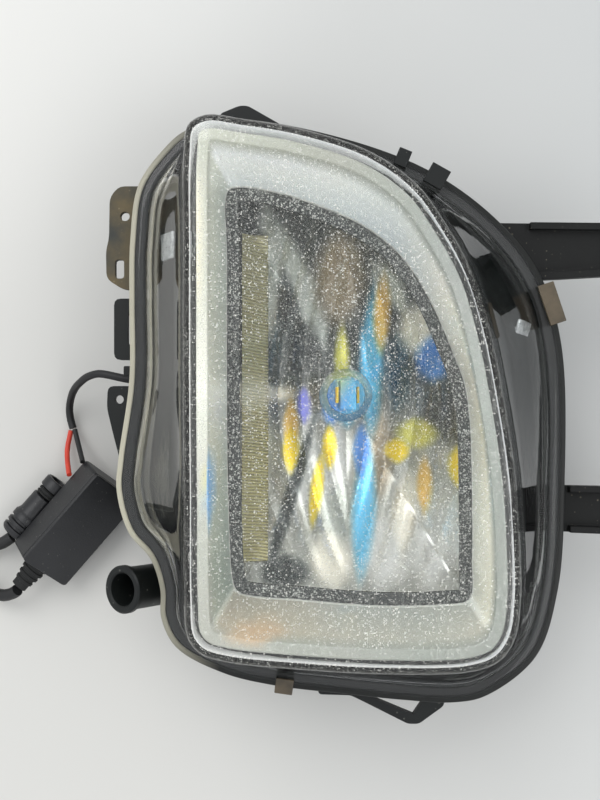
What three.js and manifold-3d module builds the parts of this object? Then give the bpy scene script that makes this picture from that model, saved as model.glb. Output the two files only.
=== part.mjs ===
// A car fog light lying on its back, lens up, with the driver box of its LED bulb beside it.
// Millimetres. X runs across the lamp, Y along its height, Z out through the lens.
import * as THREE from 'three';
import { mergeVertices } from 'three/addons/utils/BufferGeometryUtils.js';
import Module from 'manifold-3d';

const wasm = await Module();
wasm.setup();

// ---- driving dimensions ----
const gap = 0.3; // between pieces that touch
const sides = 60; // rays on which every ring of the shells is laid out

const face = { width: 96, height: 158.7, z: 92 }; // front of the lens
const flare = { left: 24.2, right: 20.2, top: 7, bottom: 16.9 }; // the flange reaches past the face
const frame = { left: 11.4, right: 11.3, top: 17.6, bottom: 16.6 }; // width of the silver frame

const flange = { top: 50, lens: 3, housing: 2.5, seal: 1.4, width: 10 };
const lens = { wall: 2.4, round: 4.2, crown: 0.8 };
const bezel = { inset: 3.6, thick: 1.8, frontZ: 86, openingZ: 70 };
const shroud = { thick: 1.5, clear: 1.8 };
const aperture = { width: 5, thick: 1.4 };
const housing = { wall: 2.5, back: 2.5, taper: [[3, 0], [5, 0.32], [10, 0.72], [20, 0.95], [24, 1]] };
const feet = { radius: 5, places: [[-32, -50], [32, -50], [-32, 36], [26, 36]] };

const tilt = { z: 35.5, reach: 50, arm: 44 }; // tilt axis height, pivots from the middle, nut above it
const reflector = { neck: 8.5, neckZ: 39.1, mouthZ: 63, thick: 1.8, clear: 1.6 };
const ribs = { from: 0.06, to: 0.34, thick: 1.2, bottom: -56, top: 46 };
const carrier = { thick: 3, hole: 12, ring: 18, bar: 9 };
const pivot = { ball: 3, barrel: 5.5, length: 7, shaft: 2 };
const bulb = { sink: 15, sinkBack: 12, collar: 17, collarThick: 3.7, stem: 4.5, stemLength: 23, slots: 12 };
const chip = { width: 5, height: 12, thick: 0.8, z: 44 };
const fan = { hub: 4.5, tip: 12, thick: 5, blades: 7 };
const cap = { bore: 24.4, body: 22, flange: 27, wall: 1.8, deep: 8, lug: 26.4, collar: 9 };
const screw = { x: 6, radius: 3, top: 46, head: 4.5 };

const elbow = { outer: 6.8, bore: 5.2, rise: 52 * Math.PI / 180, mouth: { x: -70.8, y: -61.2, z: 48 } };
const arm = { thick: 2.6, rib: 2.2, ribHeight: 3, reach: 107, z: 41.5, hole: 2.6 };
const driver = { length: 38, width: 19.5, height: 12.5, turn: 49, roll: 35, x: -91.8, y: -43.8, lid: 1.6 };
const connector = { x: -108.5, y: -41.9, turn: 49, radius: 5.5, length: 17, tip: 4.2 };
const lead = { lamp: 1.3, wire: 0.9, supply: 2.1 };

// ---- outlines, hand-set points of closed smooth curves ----
const facePoints = [
  [-48, 0], [-48, 40], [-47.8, 68], [-46.5, 76.5], [-41.5, 79.35], [-31, 78.2], [-14.7, 75.4], [5, 69],
  [18.6, 59.5], [26.7, 48.5], [34.3, 34.5], [39.3, 18.4], [43.3, -1.5], [46.6, -24], [47.9, -45], [48, -58],
  [46.4, -69], [42, -75.5], [34, -78.6], [10, -79.35], [-15, -78], [-36, -75.8], [-43, -73.5], [-46.6, -69],
  [-47.6, -58], [-47.8, -30],
];
const flangePoints = [
  [-51, 82.6], [-57.2, 77.3], [-65.4, 65.6], [-67.9, 48.5], [-68.2, 29.8], [-68.2, 4.8], [-71.6, -20],
  [-72.2, -29.7], [-68.5, -42.9], [-61.6, -51.3], [-58.5, -61], [-58.2, -69.8], [-53.5, -79], [-38.9, -87],
  [-22.5, -91], [-1.3, -93.5], [16.6, -95.4], [33.8, -96.25], [43.5, -94.2], [59.1, -82], [66, -61.3],
  [68.2, -28.2], [67.2, 15.7], [60.7, 37.3], [47.4, 54.5], [25, 70.7], [-8.4, 82.3], [-38.2, 86.35],
];
const openingPoints = [
  [-36.6, 0], [-36.6, 40], [-36.4, 60.5], [-34, 61.75], [-21.2, 60], [-7.9, 55.7], [4.2, 50.2], [13.1, 43.7],
  [19.3, 36.3], [25.2, 26], [29.9, 15.3], [34.4, 3.2], [36.1, -9], [36.7, -31], [36.7, -49], [35.8, -61],
  [26.7, -62.5], [8.2, -62.75], [-14.7, -61], [-32.7, -59], [-34.4, -57], [-36.2, -31],
];

// ---- solids ----
const clean = (geometry) => {
  const copy = geometry.clone();
  copy.deleteAttribute('normal');
  copy.deleteAttribute('uv');
  return mergeVertices(copy, 1e-4);
};

// Turns a closed geometry the right way out.
const outward = (geometry) => {
  const at = geometry.attributes.position;
  const index = geometry.index.array;
  const [a, b, c] = [new THREE.Vector3(), new THREE.Vector3(), new THREE.Vector3()];
  let volume = 0;
  for (let i = 0; i < index.length; i += 3) {
    a.fromBufferAttribute(at, index[i]);
    b.fromBufferAttribute(at, index[i + 1]);
    c.fromBufferAttribute(at, index[i + 2]);
    volume += a.dot(b.cross(c));
  }
  if (volume < 0) geometry.setIndex([...index].reverse());
  return geometry;
};

const toSolid = (geometry) => {
  const closed = outward(clean(geometry));
  return new wasm.Manifold(new wasm.Mesh({
    numProp: 3,
    vertProperties: new Float32Array(closed.attributes.position.array),
    triVerts: new Uint32Array(closed.index.array),
  }));
};

const toGeometry = (solid) => {
  const mesh = solid.getMesh();
  const geometry = new THREE.BufferGeometry();
  geometry.setAttribute('position', new THREE.BufferAttribute(new Float32Array(mesh.vertProperties), 3));
  geometry.setIndex([...mesh.triVerts]);
  return geometry;
};

const join = (...shapes) => toGeometry(shapes.map(toSolid).reduce((a, b) => a.add(b)));
const cut = (shape, ...tools) => toGeometry(tools.map(toSolid).reduce((a, b) => a.subtract(b), toSolid(shape)));

const moved = (geometry, x, y, z) => geometry.clone().translate(x, y, z);

const cylinder = (radius, low, high, x = 0, y = 0, segments = 24) =>
  new THREE.CylinderGeometry(radius, radius, high - low, segments)
    .rotateX(Math.PI / 2).translate(x, y, (low + high) / 2);

const box = (x0, x1, y0, y1, z0, z1) =>
  new THREE.BoxGeometry(x1 - x0, y1 - y0, z1 - z0).translate((x0 + x1) / 2, (y0 + y1) / 2, (z0 + z1) / 2);

// A turned piece about Z from [radius, z] points of its closed section.
const turned = (section, segments = 32) => {
  const points = [...section, section[0]].map(([r, z]) => new THREE.Vector2(r, z));
  return outward(clean(new THREE.LatheGeometry(points, segments).rotateX(Math.PI / 2)));
};

const shapeOf = (points) => new THREE.Shape(points.map(([x, y]) => new THREE.Vector2(x, y)));

const slab = (points, low, high, holes = []) => {
  const shape = shapeOf(points);
  shape.holes = holes.map((hole) => new THREE.Path(hole.map(([x, y]) => new THREE.Vector2(x, y))));
  return new THREE.ExtrudeGeometry(shape, { depth: high - low, bevelEnabled: false }).translate(0, 0, low);
};

const circle = (x, y, radius, count = 14) => [...Array(count).keys()].map((i) => {
  const angle = 2 * Math.PI * i / count;
  return [x + radius * Math.cos(angle), y + radius * Math.sin(angle)];
});

// Rounds the corners of a polygon.
const rounded = (points, radius, steps = 3) => points.flatMap((point, i) => {
  const corner = new THREE.Vector2(...point);
  const before = new THREE.Vector2(...points.at(i - 1)).sub(corner);
  const after = new THREE.Vector2(...points[(i + 1) % points.length]).sub(corner);
  const reach = Math.min(radius, before.length() / 2.1, after.length() / 2.1);
  const from = corner.clone().addScaledVector(before.normalize(), reach);
  const to = corner.clone().addScaledVector(after.normalize(), reach);
  return new THREE.QuadraticBezierCurve(from, corner, to).getPoints(steps).map((p) => [p.x, p.y]);
});

const tube = (points, radius, count, steps) => {
  const path = new THREE.CatmullRomCurve3(points.map((p) => new THREE.Vector3(...p)), false, 'centripetal');
  return new THREE.ExtrudeGeometry(shapeOf(circle(0, 0, radius, count)),
    { steps, bevelEnabled: false, extrudePath: path });
};

// ---- the lamp's shells: rings of one count, stacked and closed ----
const boxes = {
  face: [-face.width / 2, face.width / 2, -face.height / 2, face.height / 2],
};
boxes.flange = [boxes.face[0] - flare.left, boxes.face[1] + flare.right,
  boxes.face[2] - flare.bottom, boxes.face[3] + flare.top];
boxes.opening = [boxes.face[0] + frame.left, boxes.face[1] - frame.right,
  boxes.face[2] + frame.bottom, boxes.face[3] - frame.top];

// A closed smooth outline through the points, stretched to fill a box.
const outline = (points, [x0, x1, y0, y1]) => {
  const xs = points.map((p) => p[0]);
  const ys = points.map((p) => p[1]);
  const [left, right, low, high] = [Math.min(...xs), Math.max(...xs), Math.min(...ys), Math.max(...ys)];
  const placed = points.map(([x, y]) => new THREE.Vector3(
    x0 + (x - left) / (right - left) * (x1 - x0), y0 + (y - low) / (high - low) * (y1 - y0), 0));
  return new THREE.CatmullRomCurve3(placed, true, 'centripetal').getSpacedPoints(360).slice(0, 360);
};
const outlines = {
  face: outline(facePoints, boxes.face),
  flange: outline(flangePoints, boxes.flange),
  opening: outline(openingPoints, boxes.opening),
};

const rays = [...Array(sides).keys()].map((i) => {
  const point = outlines.face[Math.round(i * 360 / sides)];
  return new THREE.Vector2(point.x, point.y).normalize();
});

// How far a point lies inside an outline, less than 0 outside it.
const depthIn = (points, x, y) => {
  let nearest = Infinity;
  let inside = false;
  points.forEach((a, i) => {
    const b = points[(i + 1) % points.length];
    const along = ((x - a.x) * (b.x - a.x) + (y - a.y) * (b.y - a.y)) / a.distanceToSquared(b);
    const t = Math.min(1, Math.max(0, along));
    nearest = Math.min(nearest, Math.hypot(x - a.x - t * (b.x - a.x), y - a.y - t * (b.y - a.y)));
    if ((a.y > y) !== (b.y > y) && x < a.x + (y - a.y) / (b.y - a.y) * (b.x - a.x)) inside = !inside;
  });
  return inside ? nearest : -nearest;
};

// Where a ray from the middle comes to a given distance inside an outline.
const reachOn = (points, ray, inset) => {
  let [near, far] = [0, 200];
  for (let i = 0; i < 22; i++) {
    const middle = (near + far) / 2;
    if (depthIn(points, ray.x * middle, ray.y * middle) > inset) near = middle;
    else far = middle;
  }
  return near;
};

const ring = (name, inset, z) =>
  rays.map((ray) => new THREE.Vector3(ray.x, ray.y, 0).multiplyScalar(reachOn(outlines[name], ray, inset)).setZ(z));

// Skins the rings in turn. Ends close on a middle point, or the last ring meets the first.
const skinned = (rings, ends) => {
  const count = rings[0].length;
  const points = rings.flat();
  const faces = [];
  const quad = (r, s, i) => {
    const j = (i + 1) % count;
    const [a, b, c, d] = [r * count + i, r * count + j, s * count + j, s * count + i];
    faces.push(a, b, c, a, c, d);
  };
  const loops = ends ? rings.length - 1 : rings.length;
  for (let r = 0; r < loops; r++) for (let i = 0; i < count; i++) quad(r, (r + 1) % rings.length, i);
  if (ends) {
    ends.forEach((end, side) => {
      const first = side ? (rings.length - 1) * count : 0;
      points.push(end.isVector3 ? end : new THREE.Vector3(0, 0, end));
      for (let i = 0; i < count; i++) {
        const pair = [first + i, first + (i + 1) % count];
        faces.push(points.length - 1, ...(side ? pair : pair.reverse()));
      }
    });
  }
  const geometry = new THREE.BufferGeometry().setFromPoints(points);
  geometry.setIndex(faces);
  return outward(geometry);
};

// Where the flange's edge is on one side at a height.
const flangeX = (y, side) => {
  const near = outlines.flange.filter((p) => p.x * side > 0).sort((a, b) => Math.abs(a.y - y) - Math.abs(b.y - y));
  return near[0].x;
};

const flangeBottom = flange.top - flange.lens; // underside of the lens's flange
const rimTop = flangeBottom - flange.seal - 2 * gap; // the housing's rim, under the seal
const rimBottom = rimTop - flange.housing;

const makeLens = () => {
  const inner = flange.width - 2.6;
  const foot = ring('flange', inner - lens.wall, flange.top);
  return skinned([
    ring('face', 10, face.z),
    ring('face', lens.round * 0.45, face.z - lens.crown * 0.6),
    ring('face', lens.round * 0.12, face.z - lens.crown - lens.round * 0.35),
    ring('face', 0, face.z - lens.crown - lens.round),
    foot,
    ring('flange', 0, flange.top),
    ring('flange', 0, flangeBottom),
    ring('flange', inner, flangeBottom),
    ring('face', lens.wall, face.z - lens.crown - lens.round),
    ring('face', lens.wall + lens.round * 0.4, face.z - lens.crown - lens.wall - 0.6),
    ring('face', 11, face.z - lens.wall - lens.crown),
  ], [face.z + lens.crown * 0.1, face.z - lens.wall - lens.crown + 0.1]);
};

const makeSeal = () => skinned([
  ring('flange', 1.6, rimTop + gap),
  ring('flange', 5.6, rimTop + gap),
  ring('flange', 5.6, flangeBottom - gap),
  ring('flange', 1.6, flangeBottom - gap),
]);

const shroudTop = bezel.frontZ - bezel.thick - 4 * gap;

const makeShroud = () => skinned([
  ring('flange', flange.width - 2.6 + shroud.clear, rimTop + gap),
  ring('flange', flange.width - 2.6 + shroud.clear + shroud.thick, rimTop + gap),
  ring('face', lens.wall + shroud.clear + shroud.thick + 0.2, shroudTop),
  ring('face', lens.wall + shroud.clear + 0.2, shroudTop),
]);

const makeBezel = () => skinned([
  ring('face', bezel.inset, bezel.frontZ),
  ring('face', bezel.inset + 3.4, bezel.frontZ),
  ring('opening', 0, bezel.openingZ),
  ring('opening', 0, bezel.openingZ - bezel.thick),
  ring('face', bezel.inset + 3, bezel.frontZ - bezel.thick),
  ring('face', bezel.inset, bezel.frontZ - bezel.thick),
]);

const makeAperture = () => {
  const top = bezel.openingZ - bezel.thick - gap;
  return skinned([
    ring('opening', -1.2, top),
    ring('opening', aperture.width - 1.2, top),
    ring('opening', aperture.width - 1.2, top - aperture.thick),
    ring('opening', -1.2, top - aperture.thick),
  ]);
};

// The housing's section, from its rim to its back, as [inset, height] pairs.
const housingSection = () => housing.taper.map(([inset, share]) =>
  [inset, rimBottom + (housing.back - rimBottom) * share]);

const makeHousing = () => {
  const outer = housingSection();
  const rings = [
    ring('flange', 0.6, rimTop),
    ring('flange', 0.6, rimBottom),
    ...outer.map(([inset, z]) => ring('flange', inset, z)),
  ];
  const inner = outer.slice(0, -1).reverse().map(([inset, z], i) =>
    ring('flange', inset + housing.wall + (i ? 0 : 2), i ? z : housing.back + housing.wall));
  const lip = flange.width + 1.6;
  const shell = skinned([
    ...rings, ...inner.slice(0, -1),
    ring('flange', lip - 3, rimBottom - 3), ring('flange', lip, rimBottom), ring('flange', lip, rimTop),
  ]);
  const floor = skinned([
    ring('flange', outer.at(-1)[0] - 2, housing.back), ring('flange', outer.at(-2)[0] + housing.wall,
      housing.back + housing.wall),
  ], [housing.back, housing.back + housing.wall]);
  const back = housing.back + housing.wall;
  const posts = [-1, 1].map((side) => pivotPost(side));
  return cut(
    join(shell, floor, ...posts,
      ...feet.places.map(([x, y]) => cylinder(feet.radius, 0, housing.back + 0.5, x, y, 16)),
      turned([[cap.bore, housing.back], [cap.bore + 2.4, housing.back], [cap.bore + 2.4, cap.collar],
        [cap.bore, cap.collar]]),
      cylinder(screw.head + 3, housing.back, back + 1, screw.x, tilt.arm)),
    cylinder(cap.bore, -1, cap.collar + 1, 0, 0, 32),
    cylinder(screw.radius + 1.6, -1, back + 9, screw.x, tilt.arm),
    leadHole());
};

// Everything the housing's outside takes up, with a gap round it.
const envelope = skinned([
  ring('flange', 0.6 - gap, flange.top + 1), ring('flange', 0.6 - gap, rimBottom - gap),
  ...housingSection().map(([inset, z]) => ring('flange', inset - gap, z - gap)),
], [flange.top + 1, housing.back - gap]);
const seated = (shape) => cut(shape, envelope);

// A post on the housing's side wall that carries a pivot stud.
const pivotPost = (side) => {
  const near = side * (tilt.reach + pivot.length / 2 + 1.6);
  const wall = flangeX(0, side) - side * (housing.taper[1][0] + 1);
  return box(Math.min(near, wall), Math.max(near, wall), -4, 4, tilt.z - 4, tilt.z + 4);
};

const makePivotStud = (side) => {
  const start = side * tilt.reach;
  const ball = new THREE.SphereGeometry(pivot.ball, 14, 10);
  const end = pivot.length / 2 + 1.6 - gap;
  const shaft = new THREE.CylinderGeometry(pivot.shaft, pivot.shaft, end, 14).rotateZ(Math.PI / 2);
  return moved(join(ball, shaft.translate(side * end / 2, 0, 0)), start, 0, tilt.z);
};

const barrel = (side) => {
  const outer = new THREE.CylinderGeometry(pivot.barrel, pivot.barrel, pivot.length, 20).rotateZ(Math.PI / 2);
  return outer.translate(side * tilt.reach, 0, tilt.z);
};
const barrelBore = (side) => {
  const radius = pivot.ball + gap;
  const bore = new THREE.CylinderGeometry(radius, radius, pivot.length + 2, 20).rotateZ(Math.PI / 2);
  return bore.translate(side * (tilt.reach + 1.2), 0, tilt.z);
};

const carrierLow = tilt.z - carrier.thick / 2;
const carrierHigh = tilt.z + carrier.thick / 2;

const makeCarrier = () => {
  const bar = carrier.bar / 2;
  return cut(
    join(cylinder(carrier.ring, carrierLow, carrierHigh, 0, 0, 32),
      box(-tilt.reach, tilt.reach, -bar, bar, carrierLow, carrierHigh),
      box(screw.x - bar, screw.x + bar, 0, tilt.arm, carrierLow, carrierHigh),
      cylinder(nut.outer + 2.6, carrierLow, carrierHigh, screw.x, tilt.arm),
      barrel(-1), barrel(1)),
    cylinder(carrier.hole, 0, 80, 0, 0, 32),
    cylinder(nut.outer + gap, 0, 80, screw.x, tilt.arm),
    barrelBore(-1), barrelBore(1));
};

const nut = { outer: 5.4, flange: 6.8, length: 9 };

const makeNut = () => {
  const bore = screw.radius + 0.6;
  const low = tilt.z - nut.length / 2;
  return moved(turned([[bore, low], [nut.flange, low], [nut.flange, carrierLow - gap],
    [nut.outer, carrierLow - gap], [nut.outer, low + nut.length], [bore, low + nut.length]], 20),
  screw.x, tilt.arm, 0);
};

const makeScrew = () => {
  const [low, high] = [0.7, 2.2];
  const head = cylinder(screw.head, low, high, 0, 0, 6);
  const shaft = cylinder(screw.radius, high - 0.5, screw.top, 0, 0, 20);
  const socket = cylinder(screw.head * 0.45, low - 1, low + 0.8, 0, 0, 6);
  return moved(cut(join(head, shaft), socket), screw.x, tilt.arm, 0);
};

const makeBush = () => {
  const [hole, back] = [screw.radius + 1.6, housing.back + housing.wall + 1];
  return moved(turned([[screw.radius + gap, housing.back], [hole - gap, housing.back], [hole - gap, back + gap],
    [hole + 2, back + gap], [hole + 2, back + 2], [screw.radius + gap, back + 2]], 20), screw.x, tilt.arm, 0);
};

// ---- the reflector's bowl: from its mouth, share 0, to its neck, share 1 ----
const mouth = ring('opening', reflector.clear + 1.4, 0);
const bowlRing = (share, inset, drop) => {
  const neck = rays.map((ray) => new THREE.Vector3(ray.x * reflector.neck, ray.y * reflector.neck, 0));
  const z = reflector.neckZ + (reflector.mouthZ - reflector.neckZ) * (1 - share) ** 2;
  return mouth.map((point, i) => {
    const p = point.clone().lerp(neck[i], share);
    const length = p.length();
    return p.multiplyScalar((length - inset) / length).setZ(z - drop);
  });
};

const makeReflector = () => {
  const shares = [0, 0.12, 0.26, 0.42, 0.6, 0.8, 1];
  return skinned([
    ...shares.map((share) => bowlRing(share, 0, 0)),
    bowlRing(1, 0, reflector.thick),
    ...shares.slice(1, -1).reverse().map((share) => bowlRing(share, -0.7, reflector.thick)),
    bowlRing(0, -1.3, reflector.thick + 0.6),
    bowlRing(0, -1.3, 0),
  ]);
};

// The ribbed strip lies on the bowl's straight side.
const makeRibbedStrip = () => {
  const shares = [ribs.from, (ribs.from + ribs.to) / 2, ribs.to];
  const under = shares.map((share) => bowlRing(share, 0.25, -gap));
  const over = shares.map((share) => bowlRing(share, 0.25, -gap - ribs.thick)).reverse();
  const beside = rays.map((_, i) => i).filter((i) =>
    mouth[i].x < 0 && mouth[i].y > ribs.bottom && mouth[i].y < ribs.top);
  const sections = beside.sort((a, b) => mouth[a].y - mouth[b].y).map((i) => [...under, ...over].map((r) => r[i]));
  const middle = (section) => section.reduce((sum, p) => sum.add(p), new THREE.Vector3())
    .divideScalar(section.length);
  return skinned(sections, [middle(sections[0]), middle(sections.at(-1))]);
};

// ---- LED bulb ----
const collarTop = carrierLow - gap;
const collarLow = collarTop - bulb.collarThick;
const sinkTop = collarLow - gap;

const makeCollar = () => {
  const tabs = [0, 1, 2].map((i) => box(bulb.collar - 3, bulb.collar + 2, -2.5, 2.5, collarLow, collarTop - 1)
    .rotateZ(i * 2 * Math.PI / 3 + 0.5));
  const boss = cylinder(carrier.hole - 0.8, collarTop - 0.5, carrierHigh, 0, 0, 24);
  return join(cylinder(bulb.collar, collarLow, collarTop, 0, 0, 32), boss, ...tabs);
};

const makeStem = () => {
  const low = carrierHigh + gap;
  const neck = cylinder(bulb.stem + 1.6, low, low + 5, 0, 0, 20);
  const blade = box(-bulb.stem * 0.55, bulb.stem * 0.55, -bulb.stem, bulb.stem, low, low + bulb.stemLength);
  return join(neck, blade);
};

const makeChip = (side) => {
  const near = side * (bulb.stem * 0.55 + gap);
  const far = near + side * chip.thick;
  return box(Math.min(near, far), Math.max(near, far), -chip.width / 2, chip.width / 2, chip.z, chip.z + chip.height);
};

const makeHeatSink = () => {
  const slot = box(bulb.sink - 4, bulb.sink + 2, -1.2, 1.2, bulb.sinkBack + 7, sinkTop - 1.5);
  const slots = [...Array(bulb.slots).keys()].map((i) => slot.clone().rotateZ((i + 0.5) * 2 * Math.PI / bulb.slots));
  return cut(cylinder(bulb.sink, bulb.sinkBack, sinkTop, 0, 0, 36),
    cylinder(fan.tip + 0.9, bulb.sinkBack - 1, bulb.sinkBack + 6.2, 0, 0, 32), ...slots);
};

const makeFan = () => {
  const low = bulb.sinkBack + 0.6;
  const blade = box(fan.hub - 1, fan.tip, -0.6, 0.6, 0, fan.thick - 1.2).translate(0, 0, -fan.thick / 2 + 0.6);
  blade.rotateX(0.5).translate(0, 0, low + fan.thick / 2);
  const blades = [...Array(fan.blades).keys()].map((i) => blade.clone().rotateZ(i * 2 * Math.PI / fan.blades));
  return join(cylinder(fan.hub, low, low + fan.thick, 0, 0, 18), ...blades);
};

// ---- rear cap, a bayonet lid under the bulb ----
const makeCap = () => {
  const [low, seat, top] = [0.7, housing.back - gap, housing.back + cap.deep];
  const inside = cap.body - cap.wall;
  const lug = (i) => {
    const from = i * 2 * Math.PI / 3;
    const points = [...Array(6).keys()].map((k) => from + k * 0.09);
    return slab([...points.map((a) => [cap.lug * Math.cos(a), cap.lug * Math.sin(a)]),
      ...points.reverse().map((a) => [(cap.body - 1) * Math.cos(a), (cap.body - 1) * Math.sin(a)])],
    cap.collar + gap, top + 0.9);
  };
  return join(
    turned([[0, top - 2], [inside, top - 2], [inside, low], [cap.flange, low], [cap.flange, seat], [cap.body, seat],
      [cap.body, top + 0.9], [cap.body - 1.4, top + 0.9], [cap.body - 1.4, top], [0, top]], 36),
    box(-inside - 0.5, inside + 0.5, -2, 2, low + 0.4, top - 1.5), lug(0), lug(1), lug(2));
};

const torus = (radius, thick, z) =>
  new THREE.TorusGeometry(radius, thick, 8, 32).translate(0, 0, z);

// ---- lead exit, vent elbow ----
const leadY = 5;
const leadZ = 26;
const leadWall = flangeX(leadY, -1) + housing.taper[1][0] + 0.6;

const leadHole = () => new THREE.CylinderGeometry(3.2, 3.2, 12, 18).rotateZ(Math.PI / 2)
  .translate(leadWall, leadY, leadZ);

const makeGrommet = () => {
  const bore = lead.lamp + gap;
  const section = [[bore, -3.2], [4.2, -3.2], [4.2, -1.2], [2.9, -1.2], [2.9, 5], [bore, 5]];
  return turned(section, 20).rotateY(Math.PI / 2).translate(leadWall, leadY, leadZ);
};

const makeElbow = () => {
  const [sin, cos] = [Math.sin(elbow.rise), Math.cos(elbow.rise)];
  const { x, y, z } = elbow.mouth;
  const point = (along) => [x + along * cos, y, z - along * sin];
  const root = flangeX(y, -1) + 12;
  const outer = tube([point(0), point(8), point(15), [root - 6, y + 1, 31], [root, y + 1.5, 26]], elbow.outer, 20, 12);
  const lip = tube([point(0), point(2.4)], elbow.outer + 0.8, 20, 1);
  const boreTool = tube([point(-1), point(14)], elbow.bore, 16, 1);
  return seated(cut(join(outer, lip), boreTool));
};

// ---- ears, loop and tabs on the edge ----
const earZ = { low: rimBottom - 3.6, high: rimBottom - gap };

const makeUpperEar = () => slab(
  rounded([[-75.4, 63], [-72.5, 66.6], [-63.5, 66.6], [-62.5, 33.6], [-71, 33.6], [-76.4, 37], [-76.6, 46], [-75.6, 50]], 2),
  earZ.low, earZ.high, [circle(-70.5, 57, 1.5, 12), rounded([[-73.6, 37.2], [-70.8, 37.2], [-70.8, 43.2], [-73.6, 43.2]], 1)]);

const makeClipLoop = () => slab(
  rounded([[-74, 30.8], [-63.6, 30.8], [-63.6, 11.2], [-74, 11.2], [-74, 18]], 2.2),
  earZ.low, earZ.high, [rounded([[-69.6, 16], [-66, 16], [-66, 26], [-69.6, 26]], 0.8)]);

const makeCableClip = () => box(-71, flangeX(7.4, -1) + 4, 5.9, 9.3, earZ.low, earZ.high);

const makeLowerEar = () => slab(
  rounded([[-76, 2.9], [-64, 2.9], [-66.4, -21], [-72, -21.2], [-74.4, -12], [-76.3, -4]], 2),
  earZ.low, earZ.high, [circle(-72.3, -1.4, 1.4, 12)]);

const makeTopTab = () => slab(
  rounded([[-40.3, 82], [-40.3, 89.7], [-34, 92.3], [-31.4, 92.3], [-20.7, 86.2], [-18, 80]], 1.2),
  earZ.low, earZ.high);

const makeHook = () => slab(
  rounded([[-10, -89], [-8.7, -95.4], [1.4, -95.7], [5.2, -97.5], [19.7, -104.8], [23.2, -104.8], [31.1, -99.1],
    [33, -90]], 1),
  earZ.low, earZ.high, [[[8.8, -96.6], [14, -92.9], [25.6, -95.6], [21.4, -101.8]]]);

// A spring clip that wraps the two flanges at a place on the edge, given by its angle.
const makeEdgeClip = (angle, width, reach, out) => {
  const ray = new THREE.Vector2(Math.cos(angle), Math.sin(angle));
  const edge = reachOn(outlines.flange, ray, 0);
  const other = new THREE.Vector2(Math.cos(angle + 0.02), Math.sin(angle + 0.02));
  const step = other.multiplyScalar(reachOn(outlines.flange, other, 0)).sub(ray.clone().multiplyScalar(edge));
  const [low, high] = [rimBottom - gap, flange.top + gap];
  const section = shapeOf([[-reach, high], [-reach, high + 1.3], [out, high + 1.3], [out, low - 1.2], [-2.2, low - 1.2],
    [-2.2, low], [0.5, low], [0.5, high]]);
  const clip = new THREE.ExtrudeGeometry(section, { depth: width, bevelEnabled: false });
  clip.translate(0, 0, -width / 2).rotateX(Math.PI / 2);
  return clip.rotateZ(Math.atan2(step.y, step.x) - Math.PI / 2).translate(ray.x * edge, ray.y * edge, 0);
};

// ---- arms ----
const armPlace = {
  upper: { root: [[42, 55.2], [55, 36.4]], end: [54.6, 39.2] },
  lower: { root: [[56, -28.6], [56, -43.2]], end: [-29.6, -45.2] },
};

const middleY = ([a, b]) => (a[1] + b[1]) / 2;

const makeArm = ({ root, end }) => {
  const [low, high] = [arm.z - arm.thick - gap - 1, arm.z - gap - 1];
  const tipX = arm.reach;
  const plate = slab(rounded([root[0], [tipX, end[0]], [tipX, end[1]], root[1]], 2.4), low, high);
  const edge = (a, b, side) => {
    const direction = new THREE.Vector2(b[0] - a[0], b[1] - a[1]).normalize();
    const across = new THREE.Vector2(-direction.y, direction.x).multiplyScalar(side * arm.rib);
    return slab([a, b, [b[0] + across.x, b[1] + across.y], [a[0] + across.x, a[1] + across.y]],
      high - 0.5, high + arm.ribHeight);
  };
  const startX = flangeX(middleY(root), 1) + 3;
  const along = (k, x) => root[k][1] + (end[k] - root[k][1]) * (x - root[k][0]) / (tipX - root[k][0]);
  const upper = edge([startX, along(0, startX)], [tipX - 3, along(0, tipX - 3)], -1);
  const lower = edge([startX, along(1, startX)], [tipX - 3, along(1, tipX - 3)], 1);
  const middle = (end[0] + end[1]) / 2;
  return seated(cut(join(plate, upper, lower), cylinder(arm.hole, low - 1, high + 1, tipX - 8, middle, 16)));
};

// ---- driver box, in its own group ----
const makeCase = () => {
  const { length, width, height, lid } = driver;
  const outer = slab(rounded([[-length / 2, -width / 2], [length / 2, -width / 2], [length / 2, width / 2],
    [-length / 2, width / 2]], 1.4), -height / 2, height / 2 - lid - gap);
  const hollow = box(-length / 2 + 1.5, length / 2 - 1.5, -width / 2 + 1.5, width / 2 - 1.5,
    -height / 2 + 1.5, height / 2);
  return cut(outer, hollow);
};
const makeLid = () => {
  const { length, width, height, lid } = driver;
  return slab(rounded([[-length / 2, -width / 2], [length / 2, -width / 2], [length / 2, width / 2],
    [-length / 2, width / 2]], 1.4), height / 2 - lid, height / 2);
};
const makeRelief = (radius, length) => {
  const section = [[0, 0], [radius, 0], [radius * 0.62, length], [0, length]];
  return turned(section, 16).rotateY(-Math.PI / 2);
};

const makeConnector = () => {
  const { radius, length, tip } = connector;
  const half = length / 2;
  return turned([[0, -half], [radius - 1, -half], [radius, -half + 1], [radius, half * 0.1], [tip + 0.4, half * 0.2],
    [tip + 0.4, half], [0, half]], 20).rotateY(Math.PI / 2);
};
const makeSleeve = (from, length, radius) =>
  turned([[0, from], [radius, from], [radius, from + length], [0, from + length]], 20).rotateY(Math.PI / 2);

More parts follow.
